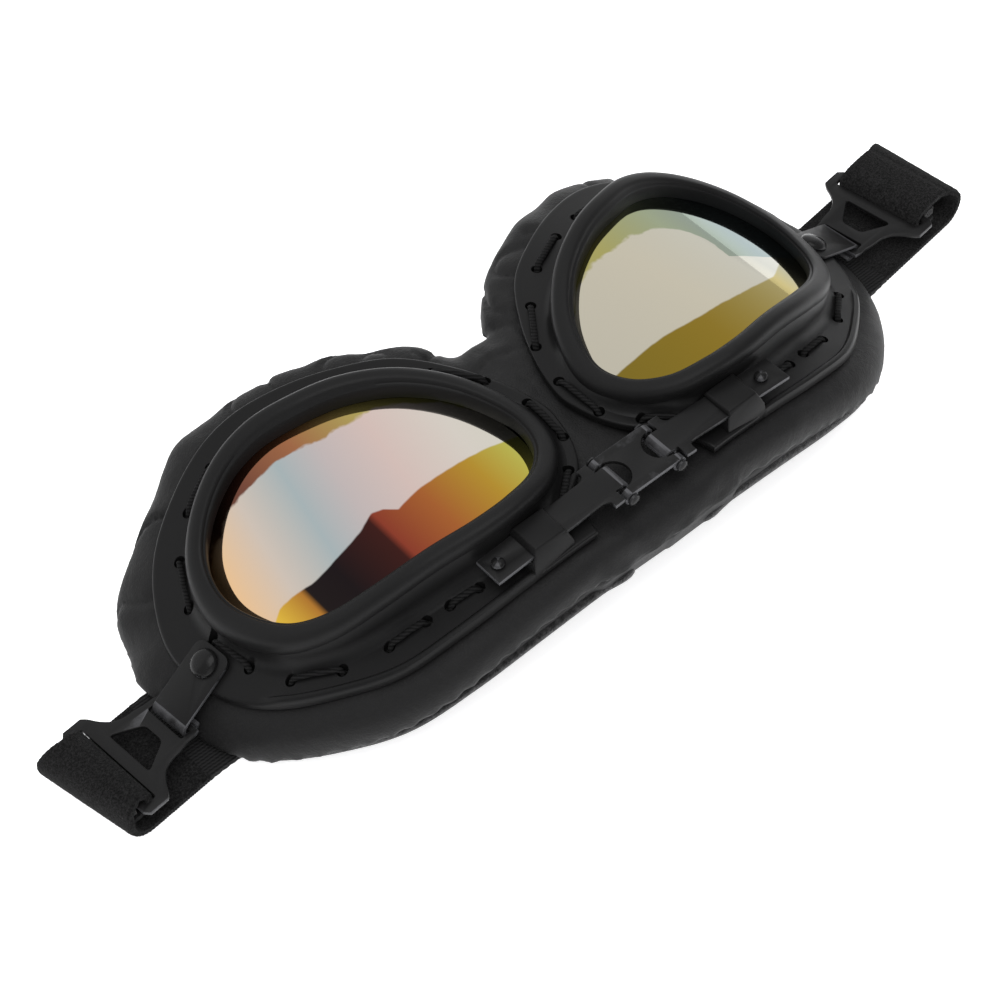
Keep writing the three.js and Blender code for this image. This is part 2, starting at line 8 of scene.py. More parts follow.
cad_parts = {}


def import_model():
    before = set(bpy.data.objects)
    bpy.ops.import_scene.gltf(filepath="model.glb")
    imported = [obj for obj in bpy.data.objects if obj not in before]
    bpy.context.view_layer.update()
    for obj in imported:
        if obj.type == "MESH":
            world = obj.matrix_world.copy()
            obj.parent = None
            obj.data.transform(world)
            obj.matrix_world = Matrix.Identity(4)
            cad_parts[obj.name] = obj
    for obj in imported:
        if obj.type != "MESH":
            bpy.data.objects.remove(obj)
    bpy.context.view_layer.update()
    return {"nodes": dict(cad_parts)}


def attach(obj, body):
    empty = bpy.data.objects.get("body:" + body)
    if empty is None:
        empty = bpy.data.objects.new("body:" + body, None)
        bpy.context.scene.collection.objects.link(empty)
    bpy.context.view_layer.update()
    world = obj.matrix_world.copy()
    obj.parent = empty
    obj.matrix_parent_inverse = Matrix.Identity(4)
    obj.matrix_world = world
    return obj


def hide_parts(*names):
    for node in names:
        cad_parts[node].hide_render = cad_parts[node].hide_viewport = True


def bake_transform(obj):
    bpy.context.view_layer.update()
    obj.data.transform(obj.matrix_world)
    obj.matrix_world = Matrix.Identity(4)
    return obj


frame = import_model()

# -------- driving dimensions, millimetres

MM = 0.001
SIDES = {"left": -1, "right": 1}
CENTRE_Y = -9.5                     # where the eyepieces' own v = 0 lies in Y
EYE_SHIFT = -0.87                   # how far each eyepiece is slid in along its bridge arm
HINGE_X, HINGE_Y, HINGE_Z = 6.2, -33.9, 38.2
KNUCKLE_R, KNUCKLE_BORE, PIN_R = 1.55, 1.0, 0.7
SHEET = 0.9                         # thickness of the bridge's sheet metal
LINK_WIDTH = 11.5
CUTOUT_R = 3.8
ARM_WIDTH, ARM_END, TEE_END = 6.8, 37.6, 10.6
ARM_PLAY = 0.35                     # clearance of the arm in its guide block
STUD_AT = {"left": 35.0, "right": 33.0}
FOLD_SLOPE = 0.073
GUIDE_U, GUIDE_HALF = 25.75, 5.25
GUIDE_V = (-29.4, -19.4)
GUIDE_Z = (33.0, 36.6, 39.8)
GUIDE_DRAFT = (0, 0.35, 1.6)
FLANGE_THICK = 1.8
WALL_THICK = 3.0
BEAD_RISE = 0.85
BEAD_START, BEAD_END, BEAD_SLOPE = 14.3, 95.0, 0.45
LACE_R, LACE_HOLE_R = 0.72, 1.2
LACE_SEED = 5                       # fixes the laces' wobble, so that every run makes the same cord
LENS_RECESS, LENS_THICK, LENS_INSET = 4.9, 1.8, 1.6
LENS_START, LENS_LONG = 8, 70
PAD_INSET, PAD_FOOT = 4.5, 1.9
COVER_FROM, WEB_FROM = 14, 9        # where the leather is divided between the bodies it lies on
HEM_DEPTH, LIP_DEPTH = 10.2, 9.2    # of the sewn hem, below the flange
RIVET_U, RIVET_V, RIVET_HOLE_R = 83.2, 10.3, 1.7
BRACKET_WIDTH, BRACKET_SHEET, BRACKET_GAP = 9.4, 0.8, 0.3
BAR_AT, ROLL_R = 10.0, 1.35
STRAP_Y, STRAP_WIDTH, STRAP_THICK = -2.8, 24.6, 1.6
STRAP_YAW = {"left": 6.5, "right": 8.5}
FOLD_END = {"left": 19.3, "right": 26.3}    # where each strap end turns back, from the buckle's bar
FOLD_SKEW = {"left": 1.6, "right": -0.6}

# Outlines of one eyepiece as (u, v): u runs outward from the bridge centre, v down to the cheek.
RIM = [(7.3, -1), (11.5, 12), (20, 22), (31, 29), (41, 33), (51, 36), (60, 35.8), (69, 32),
       (75.5, 25.5), (78.6, 16), (77.6, 6), (73, -4.5), (66, -11), (57, -15), (45, -18.2),
       (35, -20.3), (26, -20.3), (17, -17.8), (10, -11)]
RAIL_END = (16, -30.2)
FLANGE_STEP = (13.8, -19.8)
FLANGE_ROUND = [(8.5, -16), (5, -10.3), (3.2, -4), (2.7, 0.5), (5, 10.5), (10, 21.5), (17, 31.5),
                (26, 38), (37, 43.8), (48, 47.2), (57, 47), (68, 43), (77, 37), (83.5, 28),
                (86.8, 18), (85.5, 4), (80, -7), (70, -17), (60, -23.8), (48, -27), (33, -29)]
PAD_BROW = [(20, -30), (12, -30.2)]
# Where each stitch of the lace comes up through the flange and goes down again.
STITCHES = [((74.1, 31.4), (78.7, 22.2)), ((79.4, 12.8), (78.3, 2.4)), ((74.6, -6.6), (67, -13.7)),
            ((58.3, -17.8), (50.5, -19.8)), ((45.5, -21), (39.5, -22.6)), ((16.6, -20.4), (10.4, -15.2)),
            ((5.6, -8), (5, 3.5)), ((7.6, 13.6), (14.2, 23)), ((22.3, 30.6), (32.5, 36.3)),
            ((40.5, 39.3), (49, 41)), ((58, 41.4), (66.7, 37.9))]
CENTRE = np.array([43.0, 8.0])      # middle of an eyepiece, from which its outlines are measured
AROUND = 300                        # directions in which they are measured


# Heights above the resting surface, against the distance u from the bridge centre.
def flange_z(u):
    return 35.51 + u * (0.1123 + u * (-0.005823 + u * 1.557e-5))


def rim_z(u):
    return 34.66 + u * (0.6896 + u * (-0.01333 + u * 3.203e-5))


def face_z(u):
    return np.maximum(0.0, flange_z(u) - 17.5 + 0.045 * u)


def arm_z(x):
    return HINGE_Z + KNUCKLE_R - FOLD_SLOPE * (x - HINGE_X)


# -------- outlines

def catmull(points, per, closed=True):
    """Centripetal Catmull-Rom curve through the points, with per steps in each span."""
    p = np.array(points, float)
    n = len(p)
    out = []
    spans = n if closed else n - 1
    for i in range(spans):
        if closed:
            a, b, c, d = p[(i - 1) % n], p[i], p[(i + 1) % n], p[(i + 2) % n]
        else:
            b, c = p[i], p[i + 1]
            a = p[i - 1] if i else 2 * b - c
            d = p[i + 2] if i + 2 < n else 2 * c - b
        t1 = max(np.linalg.norm(b - a), 1e-6) ** 0.5
        t2 = t1 + max(np.linalg.norm(c - b), 1e-6) ** 0.5
        t3 = t2 + max(np.linalg.norm(d - c), 1e-6) ** 0.5
        for k in range(per):
            t = t1 + (t2 - t1) * k / per
            ab = a + (b - a) * t / t1
            bc = b + (c - b) * (t - t1) / (t2 - t1)
            cd = c + (d - c) * (t - t2) / (t3 - t2)
            abc = ab + (bc - ab) * t / t2
            bcd = bc + (cd - bc) * (t - t1) / (t3 - t1)
            out.append(abc + (bcd - abc) * (t - t1) / (t2 - t1))
    if not closed:
        out.append(p[-1])
    return np.array(out)


def offset(loop, distance):
    """The closed loop moved out by distance."""
    along = np.roll(loop, -1, 0) - np.roll(loop, 1, 0)
    along /= np.linalg.norm(along, axis=1)[:, None]
    return loop + np.stack([-along[:, 1], along[:, 0]], 1) * distance


def radii(loop, angles):
    """Distance from CENTRE to the closed loop in each direction."""
    ends = np.roll(loop, -1, 0)
    dense = np.concatenate([loop + (ends - loop) * k / 12 for k in range(12)]) - CENTRE
    theta = np.arctan2(dense[:, 1], dense[:, 0])
    order = np.argsort(theta)
    return np.interp(angles, theta[order], np.hypot(dense[:, 0], dense[:, 1])[order],
                     period=2 * math.pi)


rim_loop = catmull(RIM, 14)
flange_loop = catmull([FLANGE_STEP, *FLANGE_ROUND, RAIL_END], 12, False)
pad_loop = catmull([*FLANGE_ROUND[1:], *PAD_BROW], 12)
corners = [math.atan2(v - CENTRE[1], u - CENTRE[0]) for u, v in (RAIL_END, FLANGE_STEP)]
ANGLES = np.array(sorted([*np.linspace(-math.pi, math.pi, AROUND, endpoint=False), *corners]))
DIRECTION = np.stack([np.cos(ANGLES), np.sin(ANGLES)], 1)


def loop_at(radius):
    """The loop that lies radius from CENTRE in each direction."""
    return CENTRE + DIRECTION * np.asarray(radius)[:, None]


def rim_r(inset):
    """Radii of the rim's outline, moved in by inset."""
    return radii(offset(rim_loop, -inset), ANGLES)


FLANGE_R = radii(flange_loop, ANGLES)
PAD_R = radii(pad_loop, ANGLES)


def world(u, v, z, side):
    """Points of an eyepiece in the goggles' own axes."""
    return np.stack([side * (u + EYE_SHIFT), v + CENTRE_Y, z + 0 * u], -1)


def clear_of_nose(u, z, half):
    """Moves points out to the nose's half width, which narrows as z rises."""
    nose = half - 0.35 * (z + 10)
    return u + np.log1p(np.exp(np.clip((nose - u) * 1.4, -30, 30))) / 1.4


# -------- meshes

def link(name, data):
    """A new object in the scene."""
    obj = bpy.data.objects.new(name, data)
    bpy.context.scene.collection.objects.link(obj)
    return obj


def dress(obj, look):
    """Gives the object one material in place of any it had."""
    obj.data.materials.clear()
    obj.data.materials.append(look)
    return obj


def tidy(obj, angle=35, smooth=True):
    """Turns every face outward and shades it smooth but for its sharp edges."""
    bm = bmesh.new()
    bm.from_mesh(obj.data)
    bmesh.ops.remove_doubles(bm, verts=bm.verts, dist=1e-7)
    bmesh.ops.recalc_face_normals(bm, faces=bm.faces)
    for face in bm.faces:
        face.smooth = smooth
    bm.to_mesh(obj.data)
    bm.free()
    if smooth:
        obj.data.set_sharp_from_angle(angle=math.radians(angle))
    return obj


def make(name, points, faces, look, angle=35):
    """An object from points in millimetres."""
    mesh = bpy.data.meshes.new(name)
    mesh.from_pydata((np.asarray(points).reshape(-1, 3) * MM).tolist(), [], [list(f) for f in faces])
    obj = tidy(link(name, mesh), angle)
    return dress(obj, look) if look else obj


def grid_faces(rows, columns, wrap_rows=False, wrap_columns=True):
    """The faces between rows of points, each row joined to the next."""
    faces = []
    for i in range(rows if wrap_rows else rows - 1):
        for j in range(columns if wrap_columns else columns - 1):
            a, b = i * columns, (i + 1) % rows * columns
            k = (j + 1) % columns
            faces.append((a + j, a + k, b + k, b + j))
    return faces


def ring(name, rows, look, side, angle=35, nose=None):
    """A closed ring round an eyepiece; each row is its (radii, height as a function of u)."""
    points = []
    for radius, height in rows:
        u, v = loop_at(radius).T
        z = height(u)
        if nose is not None:
            u = clear_of_nose(u, z, nose)
        points.append(world(u, v, z, side))
    return make(name, np.array(points), grid_faces(len(rows), len(ANGLES), True), look, angle)


def join(name, parts, look=None):
    """One object from several."""
    bm = bmesh.new()
    for part in parts:
        part.data.transform(part.matrix_world)
        bm.from_mesh(part.data)
    mesh = bpy.data.meshes.new(name)
    bm.to_mesh(mesh)
    bm.free()
    for part in parts:
        bpy.data.objects.remove(part)
    obj = link(name, mesh)
    return dress(obj, look) if look else obj


def settle(obj):
    """The object's mesh with its modifiers applied."""
    graph = bpy.context.evaluated_depsgraph_get()
    mesh = bpy.data.meshes.new_from_object(obj.evaluated_get(graph))
    obj.modifiers.clear()
    obj.data = mesh
    return obj


def cut(obj, cutters, angle=35):
    """The object less the cutters, which it uses up."""
    knife = join("knife", cutters)
    tidy(knife, smooth=False)
    modifier = obj.modifiers.new("cut", "BOOLEAN")
    modifier.operation = "DIFFERENCE"
    modifier.solver = "EXACT"
    modifier.object = knife
    settle(obj)
    bpy.data.objects.remove(knife)
    obj.data.set_sharp_from_angle(angle=math.radians(angle))
    return obj


def lathe(name, profile, look, segments=40, closed=False, start=0.0, sweep=2 * math.pi, angle=35):
    """Turns (radius, height) points about Z."""
    whole = sweep >= 2 * math.pi - 1e-6
    steps = segments if whole else segments + 1
    turn = start + sweep * np.arange(steps) / segments
    profile = np.array(profile, float)
    points = np.stack([np.outer(profile[:, 0], np.cos(turn)), np.outer(profile[:, 0], np.sin(turn)),
                       np.outer(profile[:, 1], np.ones(steps))], -1)
    faces = grid_faces(len(profile), steps, closed, whole)
    if not whole:
        faces += [[i * steps for i in range(len(profile))],
                  [i * steps + steps - 1 for i in range(len(profile))][::-1]]
    return make(name, points, faces, look, angle)


def place(obj, matrix):
    """Moves the object's mesh by a matrix in millimetres."""
    m = matrix.copy()
    m.translation = m.translation * MM
    obj.data.transform(m)
    if m.determinant() < 0:
        obj.data.flip_normals()
    return obj


def tube(name, points, radius, look, sides=10, flat=1.0):
    """A round cord along the points; flat squeezes it in height."""
    p = np.array(points, float)
    along = np.gradient(p, axis=0)
    along /= np.linalg.norm(along, axis=1)[:, None]
    up = np.array([0.0, 0.0, 1.0])
    rings = []
    last = np.cross(along[0], up if abs(along[0, 2]) < 0.9 else np.array([1.0, 0, 0]))
    for q, t in zip(p, along):
        last = last - t * (last @ t)
        last /= np.linalg.norm(last)
        other = np.cross(t, last)
        turn = 2 * math.pi * np.arange(sides) / sides
        rings.append(q + radius * (np.outer(np.cos(turn), last) + flat * np.outer(np.sin(turn), other)))
    n = len(p)
    faces = grid_faces(n, sides)
    faces += [list(range(sides))[::-1], [(n - 1) * sides + i for i in range(sides)]]
    return make(name, np.array(rings), faces, look, 60)


def plate(name, outline, holes, thick, look, bevel=0.12):
    """A flat sheet with rounded edges, its middle on z = 0."""
    curve = bpy.data.curves.new(name, "CURVE")
    curve.dimensions = "2D"
    curve.fill_mode = "BOTH"
    curve.extrude = (thick / 2 - bevel) * MM
    curve.bevel_depth = bevel * MM
    curve.bevel_resolution = 1
    curve.offset = -bevel * MM
    for loop in [outline, *holes]:
        spline = curve.splines.new("POLY")
        spline.points.add(len(loop) - 1)
        spline.use_cyclic_u = True
        for point, (x, y) in zip(spline.points, loop):
            point.co = (x * MM, y * MM, 0, 1)
    drawn = link(name, curve)
    graph = bpy.context.evaluated_depsgraph_get()
    mesh = bpy.data.meshes.new_from_object(drawn.evaluated_get(graph))
    bpy.data.objects.remove(drawn)
    return dress(tidy(link(name, mesh), 30), look)


def arc(cx, cy, r, start, end, steps=12):
    """Points on an arc, its angles in degrees."""
    return [(cx + r * math.cos(math.radians(start + (end - start) * k / steps)),
             cy + r * math.sin(math.radians(start + (end - start) * k / steps)))
            for k in range(steps + 1)]


def rounded(points, radius, steps=5):
    """A closed polygon with its corners rounded."""
    out = []
    n = len(points)
    for i, p in enumerate(points):
        p = np.array(p, float)
        a = np.array(points[i - 1], float) - p
        b = np.array(points[(i + 1) % n], float) - p
        r = min(radius, np.linalg.norm(a) * 0.45, np.linalg.norm(b) * 0.45)
        start, end = p + a / np.linalg.norm(a) * r, p + b / np.linalg.norm(b) * r
        for k in range(steps + 1):
            t = k / steps
            out.append(tuple((1 - t) ** 2 * start + 2 * t * (1 - t) * p + t * t * end))
    return out


def block(name, x, y, z, look, bevel=0.0, draft=(0, 0, 0)):
    """A box through the heights z, drawn in at each by its draft."""
    points = []
    for height, d in zip(z, draft):
        points += [(x[0] + d, y[0] + d, height), (x[1] - d, y[0] + d, height),
                   (x[1] - d, y[1] - d, height), (x[0] + d, y[1] - d, height)]
    last = 4 * len(z) - 4
    faces = [(3, 2, 1, 0), tuple(range(last, last + 4)), *grid_faces(len(z), 4)]
    obj = make(name, np.array(points, float), faces, look)
    if bevel:
        modifier = obj.modifiers.new("bevel", "BEVEL")
        modifier.width = bevel * MM
        modifier.segments = 3
        settle(obj)
        obj.data.set_sharp_from_angle(angle=math.radians(50))
    return obj


# -------- materials

def shader(name):
    """A new material, its node tree, its surface shader and the object's own coordinates."""
    look = bpy.data.materials.new(name)
    look.use_nodes = True
    tree = look.node_tree
    bsdf = next(n for n in tree.nodes if n.type == "BSDF_PRINCIPLED")
    coordinates = tree.nodes.new("ShaderNodeTexCoord")
    return look, tree, bsdf, coordinates.outputs["Object"]


def texture(tree, kind, where, scale, **settings):
    """A texture node; a setting is one of its inputs or of its own properties."""
    node = tree.nodes.new(kind)
    tree.links.new(where, node.inputs["Vector"])
    node.inputs["Scale"].default_value = scale
    for key, value in settings.items():
        if key in node.inputs:
            node.inputs[key].default_value = value
        else:
            setattr(node, key, value)
    return node


def ramp(tree, value, stops):
    node = tree.nodes.new("ShaderNodeValToRGB")
    tree.links.new(value, node.inputs[0])
    while len(node.color_ramp.elements) < len(stops):
        node.color_ramp.elements.new(0.5)
    for element, (at, colour) in zip(node.color_ramp.elements, stops):
        element.position = at
        element.color = (*colour, 1)
    return node.outputs[0]


def math_node(tree, operation, a, b=None, c=None):
    node = tree.nodes.new("ShaderNodeMath")
    node.operation = operation
    for socket, value in zip(node.inputs, (a, b, c)):
        if value is None:
            continue
        if isinstance(value, (int, float)):
            socket.default_value = value
        else:
            tree.links.new(value, socket)
    return node.outputs[0]


def mix(tree, factor, a, b):
    node = tree.nodes.new("ShaderNodeMix")
    node.data_type = "RGBA"
    for socket, value in ((node.inputs[0], factor), (node.inputs[6], a), (node.inputs[7], b)):
        if isinstance(value, (int, float)):
            socket.default_value = value
        elif isinstance(value, tuple):
            socket.default_value = (*value, 1)
        else:
            tree.links.new(value, socket)
    return node.outputs[2]


def bump(tree, height, strength, distance, normal=None):
    node = tree.nodes.new("ShaderNodeBump")
    node.inputs["Strength"].default_value = strength
    node.inputs["Distance"].default_value = distance * MM
    tree.links.new(height, node.inputs["Height"])
    if normal is not None:
        tree.links.new(normal, node.inputs["Normal"])
    return node.outputs[0]


def grey(value):
    return (value, value * 0.985, value)


def moulded(name, tone, rough, grain, depth):
    """Smooth plastic or rubber with a fine grain and faint handling marks."""
    look, tree, bsdf, at = shader(name)
    fine = texture(tree, "ShaderNodeTexNoise", at, grain, Detail=3.0)
    broad = texture(tree, "ShaderNodeTexNoise", at, 45.0, Detail=4.0)
    tree.links.new(mix(tree, broad.outputs[0], grey(tone * 0.8), grey(tone * 1.25)),
                   bsdf.inputs["Base Color"])
    dull = ramp(tree, broad.outputs[0], [(0.35, (rough - 0.05,) * 3), (0.7, (rough + 0.06,) * 3)])
    tree.links.new(dull, bsdf.inputs["Roughness"])
    bsdf.inputs["Specular IOR Level"].default_value = 0.15
    tree.links.new(bump(tree, fine.outputs[0], 0.5, depth), bsdf.inputs["Normal"])
    return look


def painted(name, tone, rough, wear):
    """Black paint over sheet metal, worn bright along its sharpest edges."""
    look, tree, bsdf, at = shader(name)
    fine = texture(tree, "ShaderNodeTexNoise", at, 900.0, Detail=3.0)
    patches = texture(tree, "ShaderNodeTexNoise", at, 260.0, Detail=5.0, Roughness=0.7)
    geometry = tree.nodes.new("ShaderNodeNewGeometry")
    edge = math_node(tree, "MULTIPLY_ADD", patches.outputs[0], 0.10, geometry.outputs["Pointiness"])
    worn = ramp(tree, edge, [(0.61, (0, 0, 0)), (0.67, (wear,) * 3)])
    tree.links.new(mix(tree, worn, grey(tone), (0.16, 0.16, 0.17)), bsdf.inputs["Base Color"])
    tree.links.new(worn, bsdf.inputs["Metallic"])
    dull = ramp(tree, patches.outputs[0], [(0.3, (rough - 0.06,) * 3), (0.7, (rough + 0.08,) * 3)])
    tree.links.new(dull, bsdf.inputs["Roughness"])
    bsdf.inputs["Specular IOR Level"].default_value = 0.17
    tree.links.new(bump(tree, fine.outputs[0], 0.4, 0.02), bsdf.inputs["Normal"])
    return look


def leather_look():
    """Soft black leather: a pebbled grain over broad folds."""
    look, tree, bsdf, at = shader("leather")
    warp = texture(tree, "ShaderNodeTexNoise", at, 300.0, Detail=2.0)
    bent = tree.nodes.new("ShaderNodeMix")
    bent.data_type = "VECTOR"
    bent.inputs[0].default_value = 0.004
    tree.links.new(at, bent.inputs[4])
    tree.links.new(warp.outputs["Color"], bent.inputs[5])
    cells = texture(tree, "ShaderNodeTexVoronoi", bent.outputs[1], 1500.0, feature="DISTANCE_TO_EDGE")
    pebble = ramp(tree, cells.outputs["Distance"], [(0.0, (0, 0, 0)), (0.22, (1, 1, 1))])
    folds = texture(tree, "ShaderNodeTexNoise", at, 150.0, Detail=4.0, Distortion=1.2)
    broad = texture(tree, "ShaderNodeTexNoise", at, 40.0, Detail=3.0)
    tone = mix(tree, broad.outputs[0], grey(0.0045), grey(0.0085))
    tree.links.new(mix(tree, pebble, grey(0.006), tone), bsdf.inputs["Base Color"])
    tree.links.new(ramp(tree, broad.outputs[0], [(0.3, (0.5,) * 3), (0.7, (0.62,) * 3)]),
                   bsdf.inputs["Roughness"])
    bsdf.inputs["Specular IOR Level"].default_value = 0.2
    soft = bump(tree, folds.outputs[0], 0.5, 0.5)
    tree.links.new(bump(tree, pebble, 0.55, 0.05, soft), bsdf.inputs["Normal"])
    return look


def fabric(name, tone, scale, depth, sheen=0.3):
    """Matt pile or foam."""
    look, tree, bsdf, at = shader(name)
    tuft = texture(tree, "ShaderNodeTexNoise", at, scale, Detail=5.0, Roughness=0.8)
    specks = ramp(tree, tuft.outputs[0], [(0.42, grey(tone * 0.2)), (0.64, grey(tone * 2.6))])
    tree.links.new(specks, bsdf.inputs["Base Color"])
    bsdf.inputs["Roughness"].default_value = 0.95
    bsdf.inputs["Specular IOR Level"].default_value = 0.08
    bsdf.inputs["Sheen Weight"].default_value = sheen
    bsdf.inputs["Sheen Roughness"].default_value = 0.5
    tree.links.new(bump(tree, tuft.outputs[0], 1.0, depth), bsdf.inputs["Normal"])
    return look


def ribbed(name, tone):
    """Elastic webbing: fine ribs along the strap, crossed by its weft."""
    look, tree, bsdf, at = shader(name)
    ribs = texture(tree, "ShaderNodeTexWave", at, 420.0, bands_direction="Y", Distortion=0.6, Detail=1.0)
    weft = texture(tree, "ShaderNodeTexWave", at, 620.0, bands_direction="DIAGONAL")
    height = math_node(tree, "MULTIPLY_ADD", weft.outputs[1], 0.45, ribs.outputs[1])
    tree.links.new(ramp(tree, height, [(0.2, grey(tone * 0.4)), (1.2, grey(tone * 1.5))]),
                   bsdf.inputs["Base Color"])
    bsdf.inputs["Roughness"].default_value = 0.85
    bsdf.inputs["Specular IOR Level"].default_value = 0.12
    bsdf.inputs["Sheen Weight"].default_value = 0.02
    tree.links.new(bump(tree, height, 0.9, 0.12), bsdf.inputs["Normal"])
    return look


def cord_look():
    """Braided cord, its strands slanting across it."""
    look, tree, bsdf, at = shader("cord")
    strands = texture(tree, "ShaderNodeTexWave", at, 520.0, bands_direction="DIAGONAL", Distortion=2.5)
    fuzz = texture(tree, "ShaderNodeTexNoise", at, 2200.0, Detail=3.0)
    height = math_node(tree, "MULTIPLY_ADD", fuzz.outputs[0], 0.5, strands.outputs[1])
    tree.links.new(ramp(tree, height, [(0.2, grey(0.002)), (1.3, grey(0.0085))]), bsdf.inputs["Base Color"])
    bsdf.inputs["Roughness"].default_value = 0.85
    bsdf.inputs["Specular IOR Level"].default_value = 0.12
    tree.links.new(bump(tree, height, 0.6, 0.12), bsdf.inputs["Normal"])
    return look


def mirror_look(name, tint_and_dark_reflection, reflection_tints, rim_tint):
    """A mirror coating with its reflections painted on: the coating's tints, in part darkened to a painted
    dark reflection, a pale painted reflection of bright light over them, and a tinted rim; the lens's own
    fields say where each lies.
    """
    look, tree, bsdf, at = shader(name)

    def field(key):
        node = tree.nodes.new("ShaderNodeAttribute")
        node.attribute_name = key
        return node.outputs["Fac"]

    def step(value, sharpness):
        clamp = tree.nodes.new("ShaderNodeClamp")
        tree.links.new(math_node(tree, "MULTIPLY_ADD", value, sharpness, 0.5), clamp.inputs[0])
        return clamp.outputs[0]

    ripple = texture(tree, "ShaderNodeTexNoise", at, 190.0, Detail=3.0)
    wave = math_node(tree, "MULTIPLY_ADD", ripple.outputs[0], 5.0, -2.5)
    along = field("along")
    # The coating's tints along the lens; on the left lens they darken to a near-black painted dark
    # reflection.
    deep = ramp(tree, along, tint_and_dark_reflection)
    # Painted reflection: pale tints that stand for bright light mirrored in the lens.
    light = ramp(tree, math_node(tree, "MULTIPLY_ADD", field("across"), 0.12, along), reflection_tints)
    # The wavy edge where the painted reflection takes over from the tints below it.
    fine = math_node(tree, "MULTIPLY_ADD", wave, 0.15, field("reflection_edge"))
    band = math_node(tree, "MULTIPLY_ADD", wave, 0.8, field("band"))
    face = mix(tree, step(fine, 2.5), deep, light)
    tree.links.new(mix(tree, step(band, 1.6), ramp(tree, along, rim_tint), face),
                   bsdf.inputs["Base Color"])
    bsdf.inputs["Metallic"].default_value = 1.0
    bsdf.inputs["Roughness"].default_value = 0.045
    return look


PLASTIC = moulded("moulded_plastic", 0.0045, 0.42, 1500.0, 0.02)
RUBBER = moulded("rim_rubber", 0.0055, 0.47, 1900.0, 0.03)
LEATHER = leather_look()
LINING = fabric("fleece_lining", 0.014, 900.0, 0.5)
FOAM = fabric("foam", 0.03, 1400.0, 0.3, 0.0)
CORD = cord_look()
PAINT = painted("painted_sheet", 0.0055, 0.4, 0.45)
STEEL = painted("rivet_steel", 0.006, 0.24, 0.2)
WEBBING = ribbed("ribbed_webbing", 0.008)
PILE = fabric("webbing_pile", 0.0065, 2300.0, 0.35, 0.03)
HOOK = fabric("hook_tape", 0.012, 2600.0, 0.6, 0.1)

# Tints of the lenses' painted reflection.
REFLECTED_PINK, REFLECTED_BLUE = (0.61, 0.48, 0.44), (0.36, 0.42, 0.43)
# Per lens: its coating's tints with a painted dark reflection, the tints of its painted reflection, and its
# rim's tints.
LENS_LOOKS = {
    "left": mirror_look(
        "mirror_lens_left",
        [(0.0, (0.42, 0.48, 0.20)), (0.12, (0.44, 0.40, 0.07)), (0.24, (0.42, 0.25, 0.03)),
         (0.40, (0.35, 0.11, 0.03)), (0.535, (0.24, 0.045, 0.025)), (0.555, (0.045, 0.014, 0.012)),
         (0.70, (0.014, 0.010, 0.011)), (0.785, (0.016, 0.012, 0.012)), (0.80, (0.40, 0.17, 0.03)),
         (0.88, (0.66, 0.42, 0.05)), (1.0, (0.75, 0.52, 0.08))],
        [(0.0, (0.58, 0.59, 0.49)), (0.25, (0.62, 0.57, 0.51)), (0.45, REFLECTED_PINK), (0.60, (0.50, 0.44, 0.43)),
         (0.72, REFLECTED_BLUE), (0.86, (0.58, 0.50, 0.43)), (1.0, (0.78, 0.50, 0.26))],
        [(0.0, (0.40, 0.44, 0.14)), (0.35, (0.40, 0.33, 0.10)), (0.55, (0.32, 0.13, 0.06)),
         (0.72, (0.16, 0.06, 0.04)), (0.84, (0.09, 0.045, 0.03)), (0.93, (0.40, 0.17, 0.05)),
         (1.0, (0.55, 0.33, 0.08))]),
    "right": mirror_look(
        "mirror_lens_right",
        [(0.0, (0.18, 0.13, 0.02)), (0.4, (0.24, 0.16, 0.02)), (0.74, (0.30, 0.24, 0.06)),
         (0.82, (0.19, 0.18, 0.09)), (1.0, (0.17, 0.19, 0.14))],
        [(0.0, (0.47, 0.44, 0.36)), (0.5, (0.52, 0.48, 0.38)), (0.74, (0.50, 0.48, 0.40)),
         (0.82, (0.34, 0.34, 0.30))],
        [(0.0, (0.31, 0.29, 0.10)), (0.35, (0.36, 0.33, 0.11)), (0.6, (0.28, 0.32, 0.20)),
         (0.8, (0.15, 0.20, 0.20))]),
}
# Along u, the v at which the lower tint gives way to the painted reflection, and the width of the tinted
# rim.
LENS_REFLECTION_EDGE = {
    "left": [(8, -2.2), (23, -1.6), (36, -0.8), (41.5, -1.4), (43.5, 1.2), (45.5, 2.3), (49, 1.1),
             (56, 0.9), (61, 1.3), (65, 3.2), (68, 4.0), (72, 2.0), (78, 0.5)],
    "right": [(8, -3.4), (15, -3.8), (36, -4.8), (48, -3.8), (60, -1.3), (66, 3), (72, 12), (78, 26)],
}
LENS_BAND = {
    "left": [(8, -1.0), (14, 0.5), (25, 1.2), (36, 4.2), (48, 6.2), (58, 4.5), (66, 2.2), (71, 0.2),
             (80, -1)],
    "right": [(8, -1.0), (20, 0.2), (30, 2.6), (42, 6.0), (52, 14), (59, 21), (64, 28), (80, 30)],
}


# -------- eyepiece

def bead_share():
    """How much of the bead there is in each direction: all of it along the brow edge."""
    u, v = loop_at(FLANGE_R).T
    brow = np.where((v < BEAD_SLOPE * (u - BEAD_END)) & (u > BEAD_START), 1.0, 0.0)
    ends = 4
    return np.convolve(np.concatenate([brow[-ends:], brow, brow[:ends]]), np.ones(5) / 5, "same")[ends:-ends]


